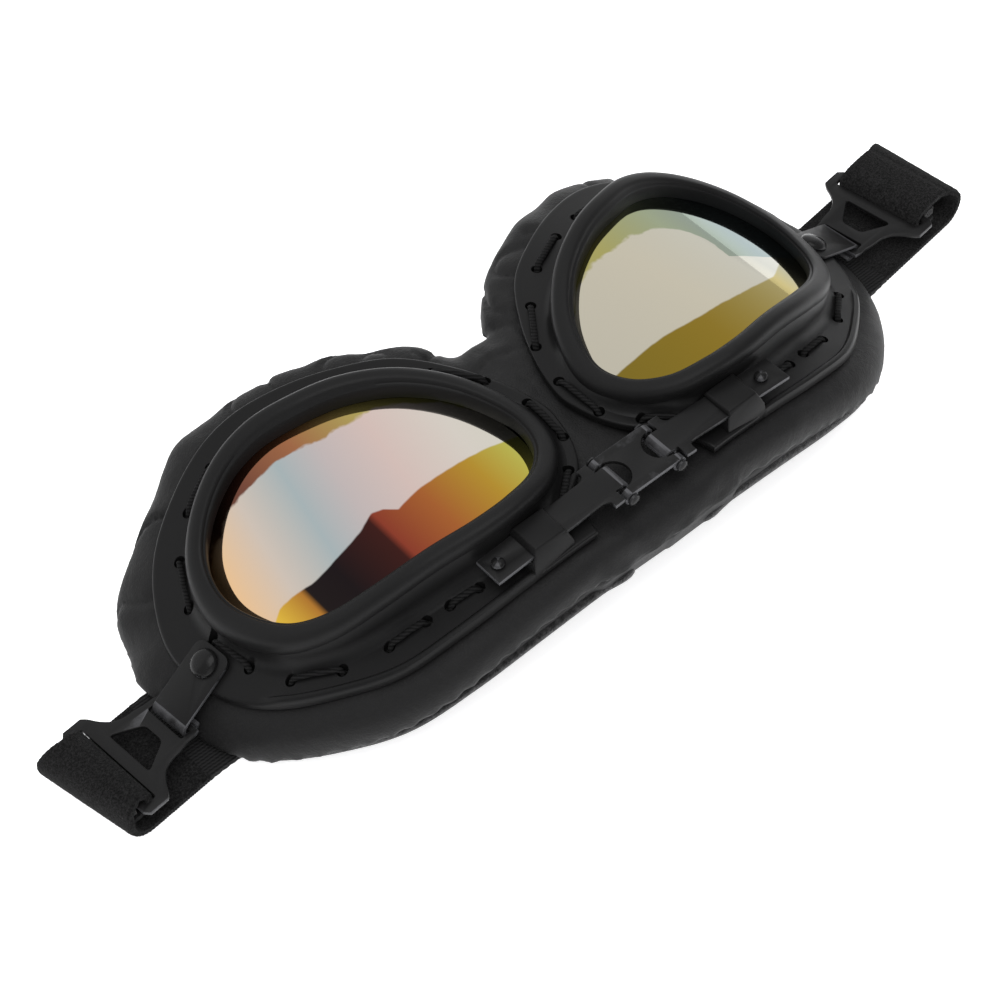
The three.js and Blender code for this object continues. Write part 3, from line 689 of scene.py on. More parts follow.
def frame_piece(name, side):
    """The moulded eyepiece: its flange, its flared wall and the bead along the brow edge."""
    inner = rim_r(WALL_THICK)
    lift = BEAD_RISE * bead_share()

    def seat(u):
        return rim_z(u) - LENS_RECESS - LENS_THICK - 0.3

    def at(rise, bead=0.0):
        return lambda u: flange_z(u) + rise + bead

    def head(u):
        return np.maximum(rim_z(u) - 1.0, flange_z(u) + 1.2)

    rows = [(inner, at(-1.2)), (inner, lambda u: np.maximum(seat(u), flange_z(u) - 0.1)),
            (rim_r(1.2), lambda u: np.maximum(seat(u), flange_z(u) + 0.1)),
            (rim_r(1.0), head), (rim_r(0.35), head), (rim_r(0.1), lambda u: head(u) - 0.5)]
    for reach, rise in ((0.0, 3.2), (-0.25, 1.9), (-0.75, 0.9), (-1.35, 0.28), (-2.0, 0.02), (-2.3, 0.0)):
        rows.append((np.minimum(rim_r(reach), FLANGE_R - 2.2),
                     lambda u, rise=rise: np.minimum(flange_z(u) + rise, head(u) - 0.6)))
    for inward, share, drop in ((1.9, 0.0, 0.0), (1.55, 0.35, 0.0), (1.3, 0.9, 0.0), (1.05, 1.0, 0.0),
                                (0.55, 1.0, 0.0), (0.25, 0.9, -0.06), (0.06, 0.5, -0.22),
                                (0.0, 0.0, -0.45), (0.0, 0.0, -1.5), (0.25, 0.0, -FLANGE_THICK)):
        rows.append((FLANGE_R - inward, at(drop, share * lift)))
    rows.append((inner + 0.6, at(-FLANGE_THICK)))
    return ring(name, rows, PLASTIC, side, 38)


def guide_block(side):
    """The drafted block on the brow side of the flange, with the slot its bridge arm slides in."""
    x = sorted(side * (value + EYE_SHIFT) for value in (GUIDE_U - GUIDE_HALF, GUIDE_U + GUIDE_HALF))
    y = [value + CENTRE_Y for value in GUIDE_V]
    body = block("block", x, y, GUIDE_Z, PLASTIC, 0.3, GUIDE_DRAFT)
    half = ARM_WIDTH / 2 + ARM_PLAY
    middle = side * (GUIDE_U + EYE_SHIFT)
    height = arm_z(abs(middle))
    slot = block("slot", [middle - 9, middle + 9], [HINGE_Y - half, HINGE_Y + half],
                 (height - SHEET - ARM_PLAY, height + ARM_PLAY), None)
    turn = Matrix.Translation(Vector((middle, 0, height)))
    place(slot, turn @ Matrix.Rotation(math.atan(FOLD_SLOPE) * side, 4, "Y") @ turn.inverted())
    return cut(body, [slot])


def drill(radius, reach, segments):
    """A cutter for a round hole, reaching both ways from its middle."""
    return lathe("drill", [(0, -reach), (radius, -reach), (radius, reach), (0, reach)], None, segments)


def frame_object(name, side):
    body = frame_piece(f"frame_shell_{name}", side)
    drills = []
    for u, v in [hole for pair in STITCHES for hole in pair]:
        centre = world(np.array(u), np.array(v), np.array(flange_z(u)), side)
        drills.append(place(drill(LACE_HOLE_R, 6, 20), Matrix.Translation(Vector(centre))))
    drills.append(place(drill(RIVET_HOLE_R, 5, 24), rivet_frame(side)))
    cut(body, drills, 38)
    shell = join(f"frame_shell_{name}", [body, guide_block(side)], PLASTIC)
    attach(shell, f"eyepiece_{name}")
    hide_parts(f"frame_{name}")


def bezel_object(name, side):
    """The rubber rim: its section, as distance in from the rim's outline and height over it."""
    section = [(-0.1, -3.4), (-0.22, -2.6), (-0.2, -1.3), (0.1, -0.45), (0.7, -0.05), (1.5, 0.05),
               (2.6, -0.02), (3.2, -0.22), (3.55, -0.6), (3.75, -1.15), (4.15, -1.3), (4.4, -1.75),
               (4.5, -4.85), (2.4, -4.7), (1.3, -3.9), (1.3, -3.0), (0.9, -3.4)]

    def rise(h):
        return lambda u: np.maximum(rim_z(u) + h, flange_z(u) + 0.35 + (h > -3) * 0.3)

    rows = [(rim_r(inset), rise(h)) for inset, h in section]
    trim = ring(f"bezel_trim_{name}", rows, RUBBER, side, 50)
    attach(trim, f"eyepiece_{name}")
    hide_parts(f"bezel_{name}")


def lens_object(name, side):
    """The curved lens, and the fields that its coating and its painted reflection are laid out by."""
    edge = rim_r(LENS_INSET)
    steps = np.linspace(1, 0, 26)[:-1]
    points = []
    for share in steps:
        u, v = loop_at(edge * share).T
        points.append(world(u, v, rim_z(u) - LENS_RECESS, side))
    top = np.array(points).reshape(-1, 3)
    centre = world(CENTRE[0], CENTRE[1], rim_z(CENTRE[0]) - LENS_RECESS, side)
    n = len(ANGLES)
    everything = np.concatenate([top, [centre], top - [0, 0, LENS_THICK], [centre - [0, 0, LENS_THICK]]])
    faces = grid_faces(len(steps), n)
    last = (len(steps) - 1) * n
    hub = len(top)
    faces += [(last + j, last + (j + 1) % n, hub) for j in range(n)]
    faces += [tuple(k + hub + 1 for k in f)[::-1] for f in faces]
    faces += [(j, hub + 1 + j, hub + 1 + (j + 1) % n, (j + 1) % n) for j in range(n)]
    disc = make(f"lens_disc_{name}", everything, faces, LENS_LOOKS[name], 40)
    co = np.array([v.co for v in disc.data.vertices]) / MM
    u, v = side * co[:, 0] - EYE_SHIFT, co[:, 1] - CENTRE_Y
    # Where the painted reflection begins across the lens.
    reflection_at, reflection_v = zip(*LENS_REFLECTION_EDGE[name])
    band_at, band_w = zip(*LENS_BAND[name])
    rim = radii(offset(rim_loop, -4.4), np.arctan2(v - CENTRE[1], u - CENTRE[0]))
    from_rim = rim - np.hypot(u - CENTRE[0], v - CENTRE[1])
    on_cheek = np.clip((v - 4) / 4, 0, 1)
    fields = {
        "along": np.clip((u - LENS_START) / LENS_LONG, 0, 1),
        "across": np.clip((v + 16) / 48, 0, 1),
        "reflection_edge": v - np.interp(u, reflection_at, reflection_v),
        "band": from_rim - np.interp(u, band_at, band_w) + 40 * (1 - on_cheek),
    }
    for key, value in fields.items():
        layer = disc.data.attributes.new(key, "FLOAT", "POINT")
        layer.data.foreach_set("value", value.astype(np.float32))
    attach(disc, f"eyepiece_{name}")
    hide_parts(f"lens_{name}")


def lace_object(name, side):
    """One braided cord, over the flange at each stitch and under it from one stitch to the next."""
    rise = LACE_R * 0.8
    under = -FLANGE_THICK - 1.1
    points = []
    for start, end in STITCHES:
        a, b = np.array(start), np.array(end)
        along = (b - a) / np.linalg.norm(b - a)
        steps = [(a - along * 0.6, under), (a + along * 0.1, -0.7), (a + along * 0.9, rise - 0.1),
                 (a + (b - a) * 0.3, rise + 0.12), (a + (b - a) * 0.65, rise + 0.18),
                 (b - along * 0.9, rise - 0.1), (b - along * 0.1, -0.7), (b + along * 0.6, under)]
        for (u, v), h in steps:
            points.append(world(np.array(u), np.array(v), flange_z(u) + h, side))
    path = catmull(points, 4, False)
    wobble = np.array([noise.noise_vector(Vector(p) * 0.45) for p in path])
    cord = tube(f"lace_cord_{name}", path + 0.16 * wobble, LACE_R, CORD, 10, 0.8)
    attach(cord, f"eyepiece_{name}")
    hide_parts(f"lace_{name}")


# -------- leather

PAD_SECTION = [  # how far outside the pad outline, and the height below the flange
    (-3.0, -2.3), (-0.6, -2.2), (1.0, -2.25), (2.6, -2.9), (3.9, -4.2), (4.7, -6.0), (4.9, -7.6),
    (4.6, -9.0), (3.7, -10.0)]


def pad_shape(name, side):
    """A closed ring of padding, fuller at the cheek and temple."""
    full = 0.6 + 2.3 * np.clip(np.sin(ANGLES) * 1.6 + 0.1, 0, 1) + 0.9 * np.clip(np.cos(ANGLES), 0, 1)
    inner = rim_r(PAD_INSET)

    def base(u):
        return face_z(u) + PAD_FOOT

    rows = []
    for out, drop in PAD_SECTION:
        rows.append((PAD_R + out + full * np.clip(out / 4, 0, 1),
                     lambda u, drop=drop: np.maximum(flange_z(u) + drop, base(u) + 0.4)))
    rows += [(PAD_R + 3.0, lambda u: base(u) + 0.3), (PAD_R + 1.6, base), (inner + 2.5, base),
             (inner + 0.4, lambda u: base(u) + 0.7), (inner, lambda u: base(u) + 2.2),
             (inner, lambda u: np.minimum(rim_z(u) - 7.6, flange_z(u) - 2.3)),
             (inner + 1.2, lambda u: np.minimum(rim_z(u) - 7.2, flange_z(u) - 2.3))]
    return ring(name, rows, LEATHER, side, 60, nose=17)


def brow_gusset():
    """The padding between the eyepieces: wide at the brow, a narrow strip over the nose."""
    rows = []
    for y in np.linspace(-45.2, 17.0, 66):
        edge = min(1.0, (y + 45.3) / 6.6)
        reach = max(0.0, min(1.0, (17.1 - y) / 6))
        half = 17.5 if y < -35.5 else max(5.2, 17.5 - (y + 35.5) * 0.85)
        top = 33.6 - 7.2 * (1 - math.sqrt(max(0.0, 1 - (1 - edge) ** 2))) - 2.0 * (1 - reach)
        low = 18.6 + min(7.0, max(0.0, (y + 34) * 0.9)) + 1.5 * (1 - reach)
        low += 7.2 * min(1.0, max(0.0, (-42.6 - y) / 1.3))
        section = [(-half, low), (half, low), (half, (low + top) / 2), (half * 0.98, top - 0.3),
                   (half * 0.5, top), (0, top - 0.15), (-half * 0.5, top), (-half * 0.98, top - 0.3),
                   (-half, (low + top) / 2)]
        rows.append([(x, y, z) for x, z in section])
    n = len(rows[0])
    faces = grid_faces(len(rows), n)
    faces += [list(range(n))[::-1], [(len(rows) - 1) * n + i for i in range(n)]]
    return make("gusset", np.array(rows, float), faces, LEATHER, 60)


def dents(p):
    """How far the leather's surface is pushed out at p, in millimetres."""
    side = 1 if p.x > 0 else -1
    u, v = side * p.x - EYE_SHIFT, p.y - CENTRE_Y
    below = flange_z(u) - p.z
    theta = math.atan2(v - CENTRE[1], u - CENTRE[0])
    seed = Vector((0, 0, 7.3 * side))
    slow = noise.noise(Vector((u * 0.045, v * 0.045, p.z * 0.05)) + seed)
    cheek = min(1.0, max(0.0, (math.sin(theta) + 0.15) * 1.6))
    gather = noise.noise(Vector((theta * 5.2, below * 0.05, 3.1)) + seed)
    crease = 1 - abs(noise.noise(Vector((theta * 3.1, below * 0.09, 9.0)) + seed)) * 9
    push = 0.7 * slow
    rim = max(0.0, 1 - abs(below - 4.5) / 5)
    push += gather * (0.2 + 0.8 * cheek) * (0.5 + rim) * (1.0 if side < 0 else 0.55)
    push -= max(0.0, crease) ** 2 * (0.05 + 0.85 * cheek)
    hem = math.exp(-((below - HEM_DEPTH) / 0.75) ** 2)
    scallop = 0.5 + 0.5 * math.cos(theta * 58 + 2.0 * noise.noise(Vector((theta * 5, 0, 1)) + seed))
    lip = math.exp(-((below - LIP_DEPTH) / 0.9) ** 2)
    push += -1.05 * hem + 0.5 * lip * scallop
    if abs(p.x) < 15 and v < 32:
        seam = math.exp(-((abs(p.x) - 7.2 - 0.02 * (p.y + 20) ** 2 / 10) / 0.5) ** 2)
        push -= 0.35 * seam * (1 if p.y > -25 else max(0.0, 1 + (p.y + 25) / 5))
    return push


def leather():
    """The whole of the padding in one skin: joined, remeshed, smoothed and dented."""
    pads = [pad_shape(f"pad_{name}", side) for name, side in SIDES.items()]
    skin = join("leather", [*pads, brow_gusset()], LEATHER)
    modifier = skin.modifiers.new("mesh", "REMESH")
    modifier.mode = "VOXEL"
    modifier.voxel_size = 0.95 * MM
    smoother = skin.modifiers.new("smooth", "SMOOTH")
    smoother.iterations = 5
    smoother.factor = 0.5
    settle(skin)
    dress(skin, LEATHER)
    mesh = skin.data
    count = len(mesh.vertices)
    flat_points = np.zeros(count * 3)
    mesh.vertices.foreach_get("co", flat_points)
    points = flat_points.reshape(-1, 3)
    normals = np.zeros(count * 3)
    mesh.vertices.foreach_get("normal", normals)
    push = np.array([dents(Vector(p) / MM) for p in points])
    points += normals.reshape(-1, 3) * push[:, None] * MM
    points[:, 2] = np.maximum(points[:, 2], 0.4 * MM)
    mesh.vertices.foreach_set("co", points.ravel())
    mesh.update()
    mesh.vertices.foreach_get("normal", normals)
    layer = mesh.attributes.new("whole_normal", "FLOAT_VECTOR", "POINT")
    layer.data.foreach_set("vector", normals.astype(np.float32))
    return skin


def split_leather(skin):
    """Cuts the padding at the bridge; each cover goes with its eyepiece, and the parts between stay in
    place.
    """
    far = 200
    cuts = [-far, -COVER_FROM, -WEB_FROM, 0, WEB_FROM, COVER_FROM, far]
    names = ["cover_left", "web_left", "centre_left", "centre_right", "web_right", "cover_right"]
    parts = {}
    for name, low, high in zip(names, cuts, cuts[1:]):
        bm = bmesh.new()
        bm.from_mesh(skin.data)
        for limit, keep in ((low, 1), (high, -1)):
            whole = [*bm.verts, *bm.edges, *bm.faces]
            bmesh.ops.bisect_plane(bm, geom=whole, plane_co=(limit * MM, 0, 0), plane_no=(keep, 0, 0),
                                   clear_inner=True)
        mesh = bpy.data.meshes.new(name)
        bm.to_mesh(mesh)
        bm.free()
        mesh.materials.append(LEATHER)
        for polygon in mesh.polygons:
            polygon.use_smooth = True
        normals = np.zeros(len(mesh.vertices) * 3, np.float32)
        mesh.attributes["whole_normal"].data.foreach_get("vector", normals)
        mesh.normals_split_custom_set_from_vertices(normals.reshape(-1, 3).tolist())
        mesh.attributes.remove(mesh.attributes["whole_normal"])
        parts[name] = link(name, mesh)
    bpy.data.objects.remove(skin)
    for name, side in SIDES.items():
        cover, web, centre = (parts[f"{kind}_{name}"] for kind in ("cover", "web", "centre"))
        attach(cover, f"eyepiece_{name}")
        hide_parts(f"cushion_{name}")
        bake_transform(centre)
        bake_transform(web)
        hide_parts("nose_gusset")


def lining_object(name, side):
    """The soft face side of the pad."""
    inner = rim_r(PAD_INSET - 0.25)
    rows = [(PAD_R + 2.4, lambda u: face_z(u) + 3.0), (PAD_R + 3.7, lambda u: face_z(u) + 2.6),
            (PAD_R + 3.9, lambda u: face_z(u) + 1.5), (PAD_R + 3.0, lambda u: face_z(u) + 0.4),
            (PAD_R + 1.2, face_z), (inner + 3, face_z), (inner + 0.8, lambda u: face_z(u) + 0.4),
            (inner, lambda u: face_z(u) + 1.6), (inner + 0.5, lambda u: face_z(u) + 3.4)]
    lining = ring(f"lining_{name}", rows, LINING, side, 80, nose=17.2)
    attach(lining, f"eyepiece_{name}")
    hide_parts(f"face_lining_{name}")


# -------- bridge

def along_y(x, z):
    """Turns a piece made about Z so that its axis runs along Y through (x, z)."""
    return Matrix.Translation(Vector((x, HINGE_Y, z))) @ Matrix.Rotation(-math.pi / 2, 4, "X")


def knuckle(x, low, high):
    """One rolled knuckle of a hinge, between two places along its pin."""
    profile = [(KNUCKLE_BORE, low), (KNUCKLE_R - 0.15, low), (KNUCKLE_R, low + 0.15),
               (KNUCKLE_R, high - 0.15), (KNUCKLE_R - 0.15, high), (KNUCKLE_BORE, high)]
    return place(lathe("knuckle", profile, PAINT, 28, True), along_y(x, HINGE_Z))


def bridge_link():
    """The plate between the two hinges, cut out round each arm's knuckle."""
    half, wide = HINGE_X, LINK_WIDTH / 2
    outline = [(-half, -wide), (half, -wide), *arc(half, 0, CUTOUT_R, 270, 90, 16), (half, wide),
               (-half, wide), *arc(-half, 0, CUTOUT_R, 90, -90, 16)]
    sheet = plate("sheet", outline, [], SHEET, PAINT)
    place(sheet, Matrix.Translation(Vector((0, HINGE_Y, HINGE_Z + KNUCKLE_R - SHEET / 2))))
    parts = [sheet]
    for x in (-half, half):
        for low, high in ((-wide, -CUTOUT_R - 0.1), (CUTOUT_R + 0.1, wide)):
            parts.append(knuckle(x, low, high))
    link = join("bridge_plate", parts, PAINT)
    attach(link, "bridge")
    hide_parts("bridge_link")


def bridge_arm(name, side):
    """The arm, its stop stud and the pin it folds on."""
    wide, narrow = LINK_WIDTH / 2, ARM_WIDTH / 2
    shoulder = HINGE_X + KNUCKLE_R + 0.3
    upper = [(HINGE_X, 3.0), (shoulder, 3.0), (shoulder, wide), (TEE_END - 0.2, wide),
             *arc(TEE_END + 1.2, narrow + 1.4, 1.4, 180, 270, 8), (ARM_END, narrow)]
    outline = [*[(x, -y) for x, y in upper], *upper[::-1]]
    sheet = plate("sheet", outline, [arc(STUD_AT[name], 0, 0.95, 0, 345, 23)], SHEET, PAINT)
    bend = Matrix.Translation(Vector((0, HINGE_Y, arm_z(0) - SHEET / 2)))
    slope = Matrix.Identity(4)
    slope[2][0] = -FOLD_SLOPE
    place(sheet, bend @ slope)
    arm = join(f"arm_sheet_{name}", [sheet, knuckle(HINGE_X, -3, 3)], PAINT)
    place(arm, Matrix.Scale(side, 4, Vector((1, 0, 0))))
    tidy(arm, 30)
    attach(arm, f"arm_{name}")
    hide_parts(f"bridge_arm_{name}")
    at = STUD_AT[name]
    profile = [(0, -SHEET - 0.8), (1.3, -SHEET - 0.8), (1.3, -SHEET - 0.3), (0.6, -SHEET - 0.3), (0.6, 0.3),
               (1.3, 0.3), (1.4, 0.5), (1.3, 0.85), (1.0, 1.1), (0.5, 1.22), (0, 1.25)]
    stud = place(lathe(f"stud_{name}", profile, STEEL, 28),
                 Matrix.Translation(Vector((side * at, HINGE_Y, arm_z(at) - 0.1))))
    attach(stud, f"arm_{name}")
    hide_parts(f"stop_stud_{name}")
    end = LINK_WIDTH / 2 + 0.3
    head = [(0, -end - 0.8), (0.8, -end - 0.75), (1.2, -end - 0.45), (1.3, -end), (PIN_R, -end)]
    profile = [*head, *[(r, -h) for r, h in head[::-1]]]
    pin = place(lathe(f"pin_{name}", profile, STEEL, 24), along_y(side * HINGE_X, HINGE_Z))
    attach(pin, "bridge")
    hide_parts(f"hinge_pin_{name}")


# -------- temple rivet, bracket and buckle

TILT = math.atan(-(flange_z(RIVET_U + 0.5) - flange_z(RIVET_U - 0.5)))
BRACKET_TOP = BRACKET_GAP + BRACKET_SHEET
ROLL_OUT = ROLL_R + BRACKET_SHEET
ROLL_UP = BRACKET_TOP - ROLL_OUT
ROLL_ALONG = (BAR_AT - ROLL_UP * math.sin(TILT)) / math.cos(TILT)


def flip(side):
    return Matrix.Scale(side, 4, Vector((1, 0, 0)))


def rivet_frame(side):
    """The temple rivet's own axes, its Z square to the flange."""
    local = Matrix.Translation(Vector((RIVET_U + EYE_SHIFT, RIVET_V + CENTRE_Y, flange_z(RIVET_U))))
    return flip(side) @ local @ Matrix.Rotation(TILT, 4, "Y")


def bracket_frame(name):
    return rivet_frame(SIDES[name]) @ Matrix.Rotation(math.radians(STRAP_YAW[name]) * SIDES[name], 4, "Z")


def buckle_frame(name):
    """The buckle's own axes: its X runs out from its narrow bar, its Z is upright."""
    side = SIDES[name]
    yaw = math.radians(STRAP_YAW[name]) * side
    at = flip(side) @ bracket_frame(name) @ Vector((ROLL_ALONG, 0, ROLL_UP))
    level = math.atan(math.tan(yaw) * math.cos(TILT))
    return flip(side) @ Matrix.Translation(at) @ Matrix.Rotation(level, 4, "Z")


def rivet_object(name, side):
    top = BRACKET_TOP + 0.25
    dome = [(2.95 * math.cos(a), top + 0.35 + 1.15 * math.sin(a)) for a in np.radians([8, 25, 42, 60, 76])]
    profile = [(0, -3.6), (2.2, -3.6), (2.2, -3.1), (1.3, -3.1), (1.3, top), (3.0, top), (3.05, top + 0.2),
               *dome, (0, top + 1.5)]
    rivet = place(lathe(f"rivet_{name}", profile, STEEL, 44, angle=50), rivet_frame(side))
    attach(rivet, f"eyepiece_{name}")
    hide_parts(f"pivot_rivet_{name}")


def bracket_object(name):
    """The strap bracket, rolled round the buckle's bar."""
    half = BRACKET_WIDTH / 2
    start, corner = -3.7, 2.2
    outline = [(ROLL_ALONG, -half), (ROLL_ALONG, half),
               *arc(start + corner, half - corner, corner, 90, 180, 8),
               *arc(start + corner, corner - half, corner, 180, 270, 8)]
    sheet = plate("sheet", outline, [arc(0, 0, 1.65, 0, 345, 23)], BRACKET_SHEET, PAINT, 0.15)
    place(sheet, Matrix.Translation(Vector((0, 0, BRACKET_GAP + BRACKET_SHEET / 2))))
    profile = [(ROLL_R, -half), (ROLL_OUT - 0.12, -half), (ROLL_OUT, 0.12 - half), (ROLL_OUT, half - 0.12),
               (ROLL_OUT - 0.12, half), (ROLL_R, half)]
    roll = lathe("roll", profile, PAINT, 26, True, -math.pi / 2, 1.3 * math.pi, 40)
    turn = Matrix.Translation(Vector((ROLL_ALONG, 0, ROLL_UP))) @ Matrix.Rotation(-math.pi / 2, 4, "X")
    place(roll, turn)
    bracket = join(f"bracket_sheet_{name}", [sheet, roll], PAINT)
    place(bracket, bracket_frame(name))
    tidy(bracket, 35)
    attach(bracket, f"bracket_{name}")
    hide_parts(f"strap_bracket_{name}")


def buckle_object(name):
    """The waisted sheet buckle, with its narrow bar, its window and the strap's slot."""
    half = [(-0.7, 6.0), (0.6, 6.4), (2.6, 6.5), (4.6, 6.9), (7.2, 7.2), (9.4, 8.2), (11.2, 10.2),
            (12.4, 12.3), (13.4, 13.4), (17.8, 13.4), (18.8, 12.2)]
    smooth = catmull(half[1:9], 4, False).tolist()
    upper = [half[0], *smooth, *half[9:]]
    outline = [*upper, *[(x, -y) for x, y in upper[::-1]]]
    bar = rounded([(0.6, -5.1), (2.9, -5.1), (2.9, 5.1), (0.6, 5.1)], 0.5)
    window = rounded([(5.7, -2.6), (12.0, -6.2), (12.0, 6.2), (5.7, 2.6)], 1.1)
    slot = rounded([(14.8, -11.3), (17.2, -11.3), (17.2, 11.3), (14.8, 11.3)], 0.6)
    buckle = plate(f"buckle_sheet_{name}", outline, [bar, window, slot], 1.0, PAINT, 0.18)
    place(buckle, buckle_frame(name))
    tidy(buckle, 32)
    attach(buckle, f"buckle_{name}")
    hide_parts(f"strap_buckle_{name}")


# -------- strap

def band(name, centre, across, lift, look, fuzz, columns, ripple):
    """A strap swept along centre, with its width along across and its thickness along lift."""
    centre, across, lift = (np.array(a, float) for a in (centre, across, lift))
    top, low = [], []
    for i in range(len(centre)):
        edge = 1 + ripple * (0.5 + 0.5 * math.cos(i * math.pi))
        for share in np.linspace(-1, 1, columns):
            selvedge = abs(share) > 0.97
            p = centre[i] + across[i] * share * STRAP_WIDTH / 2 * (edge if selvedge else 1)
            grain = fuzz * noise.noise(Vector(p) * 1.9)
            body = STRAP_THICK / 2 * (0.72 if selvedge else 1)
            top.append(p + lift[i] * (body + grain))
            low.append(p - lift[i] * (body - grain * 0.3))
    rows = len(centre)
    under = rows * columns
    faces = grid_faces(rows, columns, False, False)
    faces += [tuple(k + under for k in f)[::-1] for f in faces]
    for i in range(rows - 1):
        for j in (0, columns - 1):
            a, b = i * columns + j, (i + 1) * columns + j
            faces.append((a, b, b + under, a + under) if j else (a + under, b + under, b, a))
    for i in (0, rows - 1):
        for j in range(columns - 1):
            a, b = i * columns + j, i * columns + j + 1
            faces.append((a, b, b + under, a + under))
    return make(name, np.array(top + low), faces, look, 55)


def run_centre(name, x):
    """The middle of the strap's run at x from the bridge, and the way across it there."""
    side = SIDES[name]
    matrix = buckle_frame(name)
    end = matrix @ Vector((2.9, 0, 0))
    way = (matrix.to_3x3() @ Vector((1, 0, 0))).normalized()
    slope = way.y / abs(way.x)
    start = 55
    long = abs(end.x) - start
    t = min(1.0, max(0.0, (x - start) / long))
    y = STRAP_Y + (end.y - STRAP_Y) * (t * t * (3 - 2 * t)) + slope * long * (t ** 3 - t ** 2)
    tangent = ((end.y - STRAP_Y) * 6 * t * (1 - t) + slope * long * (3 * t * t - 2 * t)) / long
    length = math.hypot(1, tangent)
    return (side * x, y, STRAP_THICK / 2), (-side * tangent / length, 1 / length, 0)


def strap_run(name):
    """The strap under the goggles, in spans from the bridge out to the buckle."""
    stop = abs((buckle_frame(name) @ Vector((2.9, 0, 0))).x)
    spans = [("root", 0, 12, "bridge", f"arm_{name}"), ("inner", 12, 24, f"arm_{name}", f"eyepiece_{name}"),
             ("run", 24, 88, f"eyepiece_{name}", f"bracket_{name}"),
             ("outer", 88, stop, f"bracket_{name}", f"buckle_{name}")]
    for label, low, high, start, end in spans:
        steps = max(3, int((high - low) / 0.9))
        rows = [run_centre(name, x) for x in np.linspace(low, high, steps)]
        piece = band(f"strap_{label}_{name}", [r[0] for r in rows], [r[1] for r in rows],
                     [(0, 0, 1)] * len(rows), WEBBING, 0.05, 27, 0.012)
        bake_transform(piece)
        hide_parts("strap_band")


def strap_end(name, side):
    """The end of the strap: folded back on itself, over the buckle's outer bar and under it."""
    frame_at = buckle_frame(name)
    floor_z = -frame_at.translation.z
    end = FOLD_END[name]
    skew = FOLD_SKEW[name] * -side / (STRAP_WIDTH / 2)
    low, high = floor_z + STRAP_THICK / 2, 1.95
    middle, reach = (low + high) / 2, (high - low) / 2
    path = [(a, low) for a in np.linspace(2.9, end - 1.0, 26)]
    path += [(end + reach * 1.04 * math.cos(t), middle + reach * math.sin(t))
             for t in np.linspace(-math.pi / 2, math.pi / 2, 17)]
    path += [(a, high + 0.6 * math.sin(math.pi * (a - 16) / (end - 14)))
             for a in np.linspace(end - 1.0, 18.2, 7)]
    path += [(16.9, high - 0.1), (16.15, high - 0.75), (15.95, 0.6), (15.95, -0.8), (16.3, -1.9),
             (17.2, -2.5), (18.8, -2.65), (20.6, -2.65), (22.2, -2.6)]
    smooth = catmull([(a, 0, z) for a, z in path], 2, False)
    along = np.gradient(smooth, axis=0)
    along /= np.linalg.norm(along, axis=1)[:, None]
    lift = np.stack([along[:, 2], 0 * along[:, 0], -along[:, 0]], 1)
    share = np.linspace(0, 1, len(smooth))
    fold = np.clip((smooth[:, 0] - 6) / (end - 6), 0, 1)
    pinch = np.clip((share - 0.62) / 0.12, 0, 1)
    across = np.stack([skew * fold * (1 - pinch), 1 - 0.13 * pinch, 0 * share], 1)
    strap = band(f"strap_end_{name}", smooth, across, lift, PILE, 0.08, 49, 0.01)
    place(strap, frame_at)
    tidy(strap, 60)
    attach(strap, f"buckle_{name}")
    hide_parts(f"strap_loop_{name}")


# -------- assembly

noise.seed_set(LACE_SEED)
for eye, way in SIDES.items():
    frame_object(eye, way)
    bezel_object(eye, way)
    lens_object(eye, way)
    lace_object(eye, way)
    lining_object(eye, way)
    bridge_arm(eye, way)
    rivet_object(eye, way)
    bracket_object(eye)
    buckle_object(eye)
    strap_run(eye)
    strap_end(eye, way)
bridge_link()
split_leather(leather())

KEPT = {"foam_core": FOAM, "rivet_washer": STEEL, "hook_tab": HOOK}
for kind, look in KEPT.items():
    for eye in SIDES:
        dress(frame["nodes"][f"{kind}_{eye}"], look)

# -------- floor, light and camera

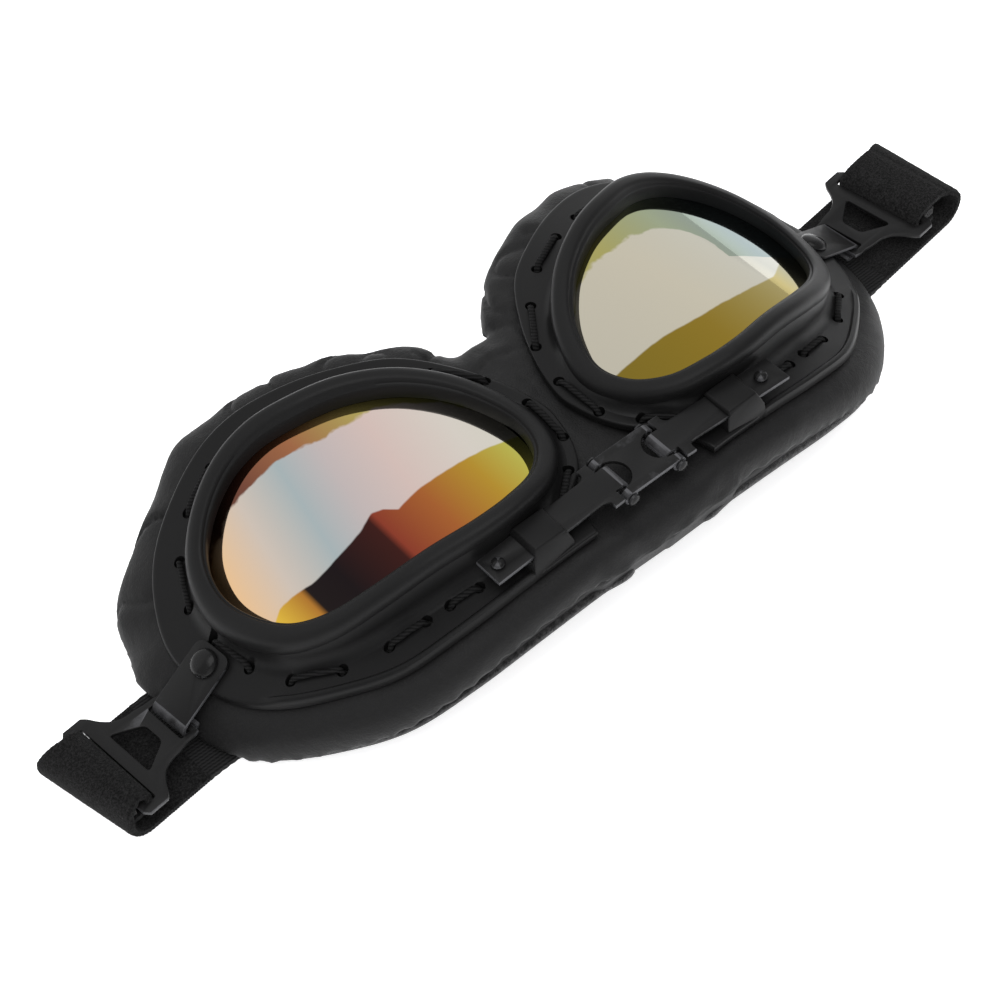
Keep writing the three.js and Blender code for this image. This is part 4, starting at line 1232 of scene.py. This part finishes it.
FLOOR_HALF = 3000.0
floor_look, _, floor_bsdf, _ = shader("pale_floor")
floor_bsdf.inputs["Base Color"].default_value = (0.92, 0.92, 0.925, 1)
floor_bsdf.inputs["Roughness"].default_value = 0.7
floor_bsdf.inputs["Emission Color"].default_value = (1, 1, 1, 1)
floor_bsdf.inputs["Emission Strength"].default_value = 0.45
floor_corners = [(x * FLOOR_HALF, y * FLOOR_HALF, 0) for x, y in ((-1, -1), (1, -1), (1, 1), (-1, 1))]
floor = make("floor", floor_corners, [(0, 1, 2, 3)], floor_look)
floor.location.z = -0.0002

scene = bpy.context.scene
world_look = bpy.data.worlds.new("room")
scene.world = world_look
world_look.use_nodes = True
sky = next(n for n in world_look.node_tree.nodes if n.type == "BACKGROUND")
sky.inputs[0].default_value = (0.97, 0.98, 1.0, 1)
sky.inputs[1].default_value = 0.42


def aimed(name, data, way, at=(0, 0, 0)):
    """A lamp at one point, shining a given way."""
    obj = link(name, data)
    obj.location = at
    obj.rotation_mode = "QUATERNION"
    obj.rotation_quaternion = Vector(way).to_track_quat("-Z", "Y")
    return obj


# Each card's place, the point it faces, its size and its power.
CARDS = {"back_card": ((0.3, 1.3, 1.3), (0.3, 0.0, 1.3), (6.5, 2.7), 36),
         "top_card": ((0.0, -0.1, 1.3), (0, 0, 0), (1.2, 0.9), 8),
         "front_card": ((-0.6, -1.0, 0.5), (0, 0, 0), (1.0, 0.6), 1.5)}
for card, (at, aim, size, power) in CARDS.items():
    lamp = bpy.data.lights.new(card, "AREA")
    lamp.shape = "RECTANGLE"
    lamp.size, lamp.size_y = size
    lamp.energy = power
    aimed(card, lamp, Vector(aim) - Vector(at), at)

lamp = bpy.data.lights.new("sun", "SUN")
lamp.energy = 2.4
lamp.angle = math.radians(50)
sun = aimed("sun", lamp, (0.34, 0.48, -0.82))
sun.visible_glossy = False

camera_data = bpy.data.cameras.new("camera")
camera_data.sensor_width = 36
camera_data.lens = 86.7
camera_data.clip_start = 0.05
camera_data.clip_end = 20
camera = link("camera", camera_data)
right, up, back = (0.7648, -0.6415, -0.0619), (0.5333, 0.576, 0.6194), (-0.3617, -0.5067, 0.7826)
camera.rotation_mode = "QUATERNION"
camera.rotation_quaternion = Matrix((right, up, back)).transposed().to_quaternion()
camera.location = (-0.19197, -0.25647, 0.39934)
scene.camera = camera
scene.view_settings.view_transform = "Standard"
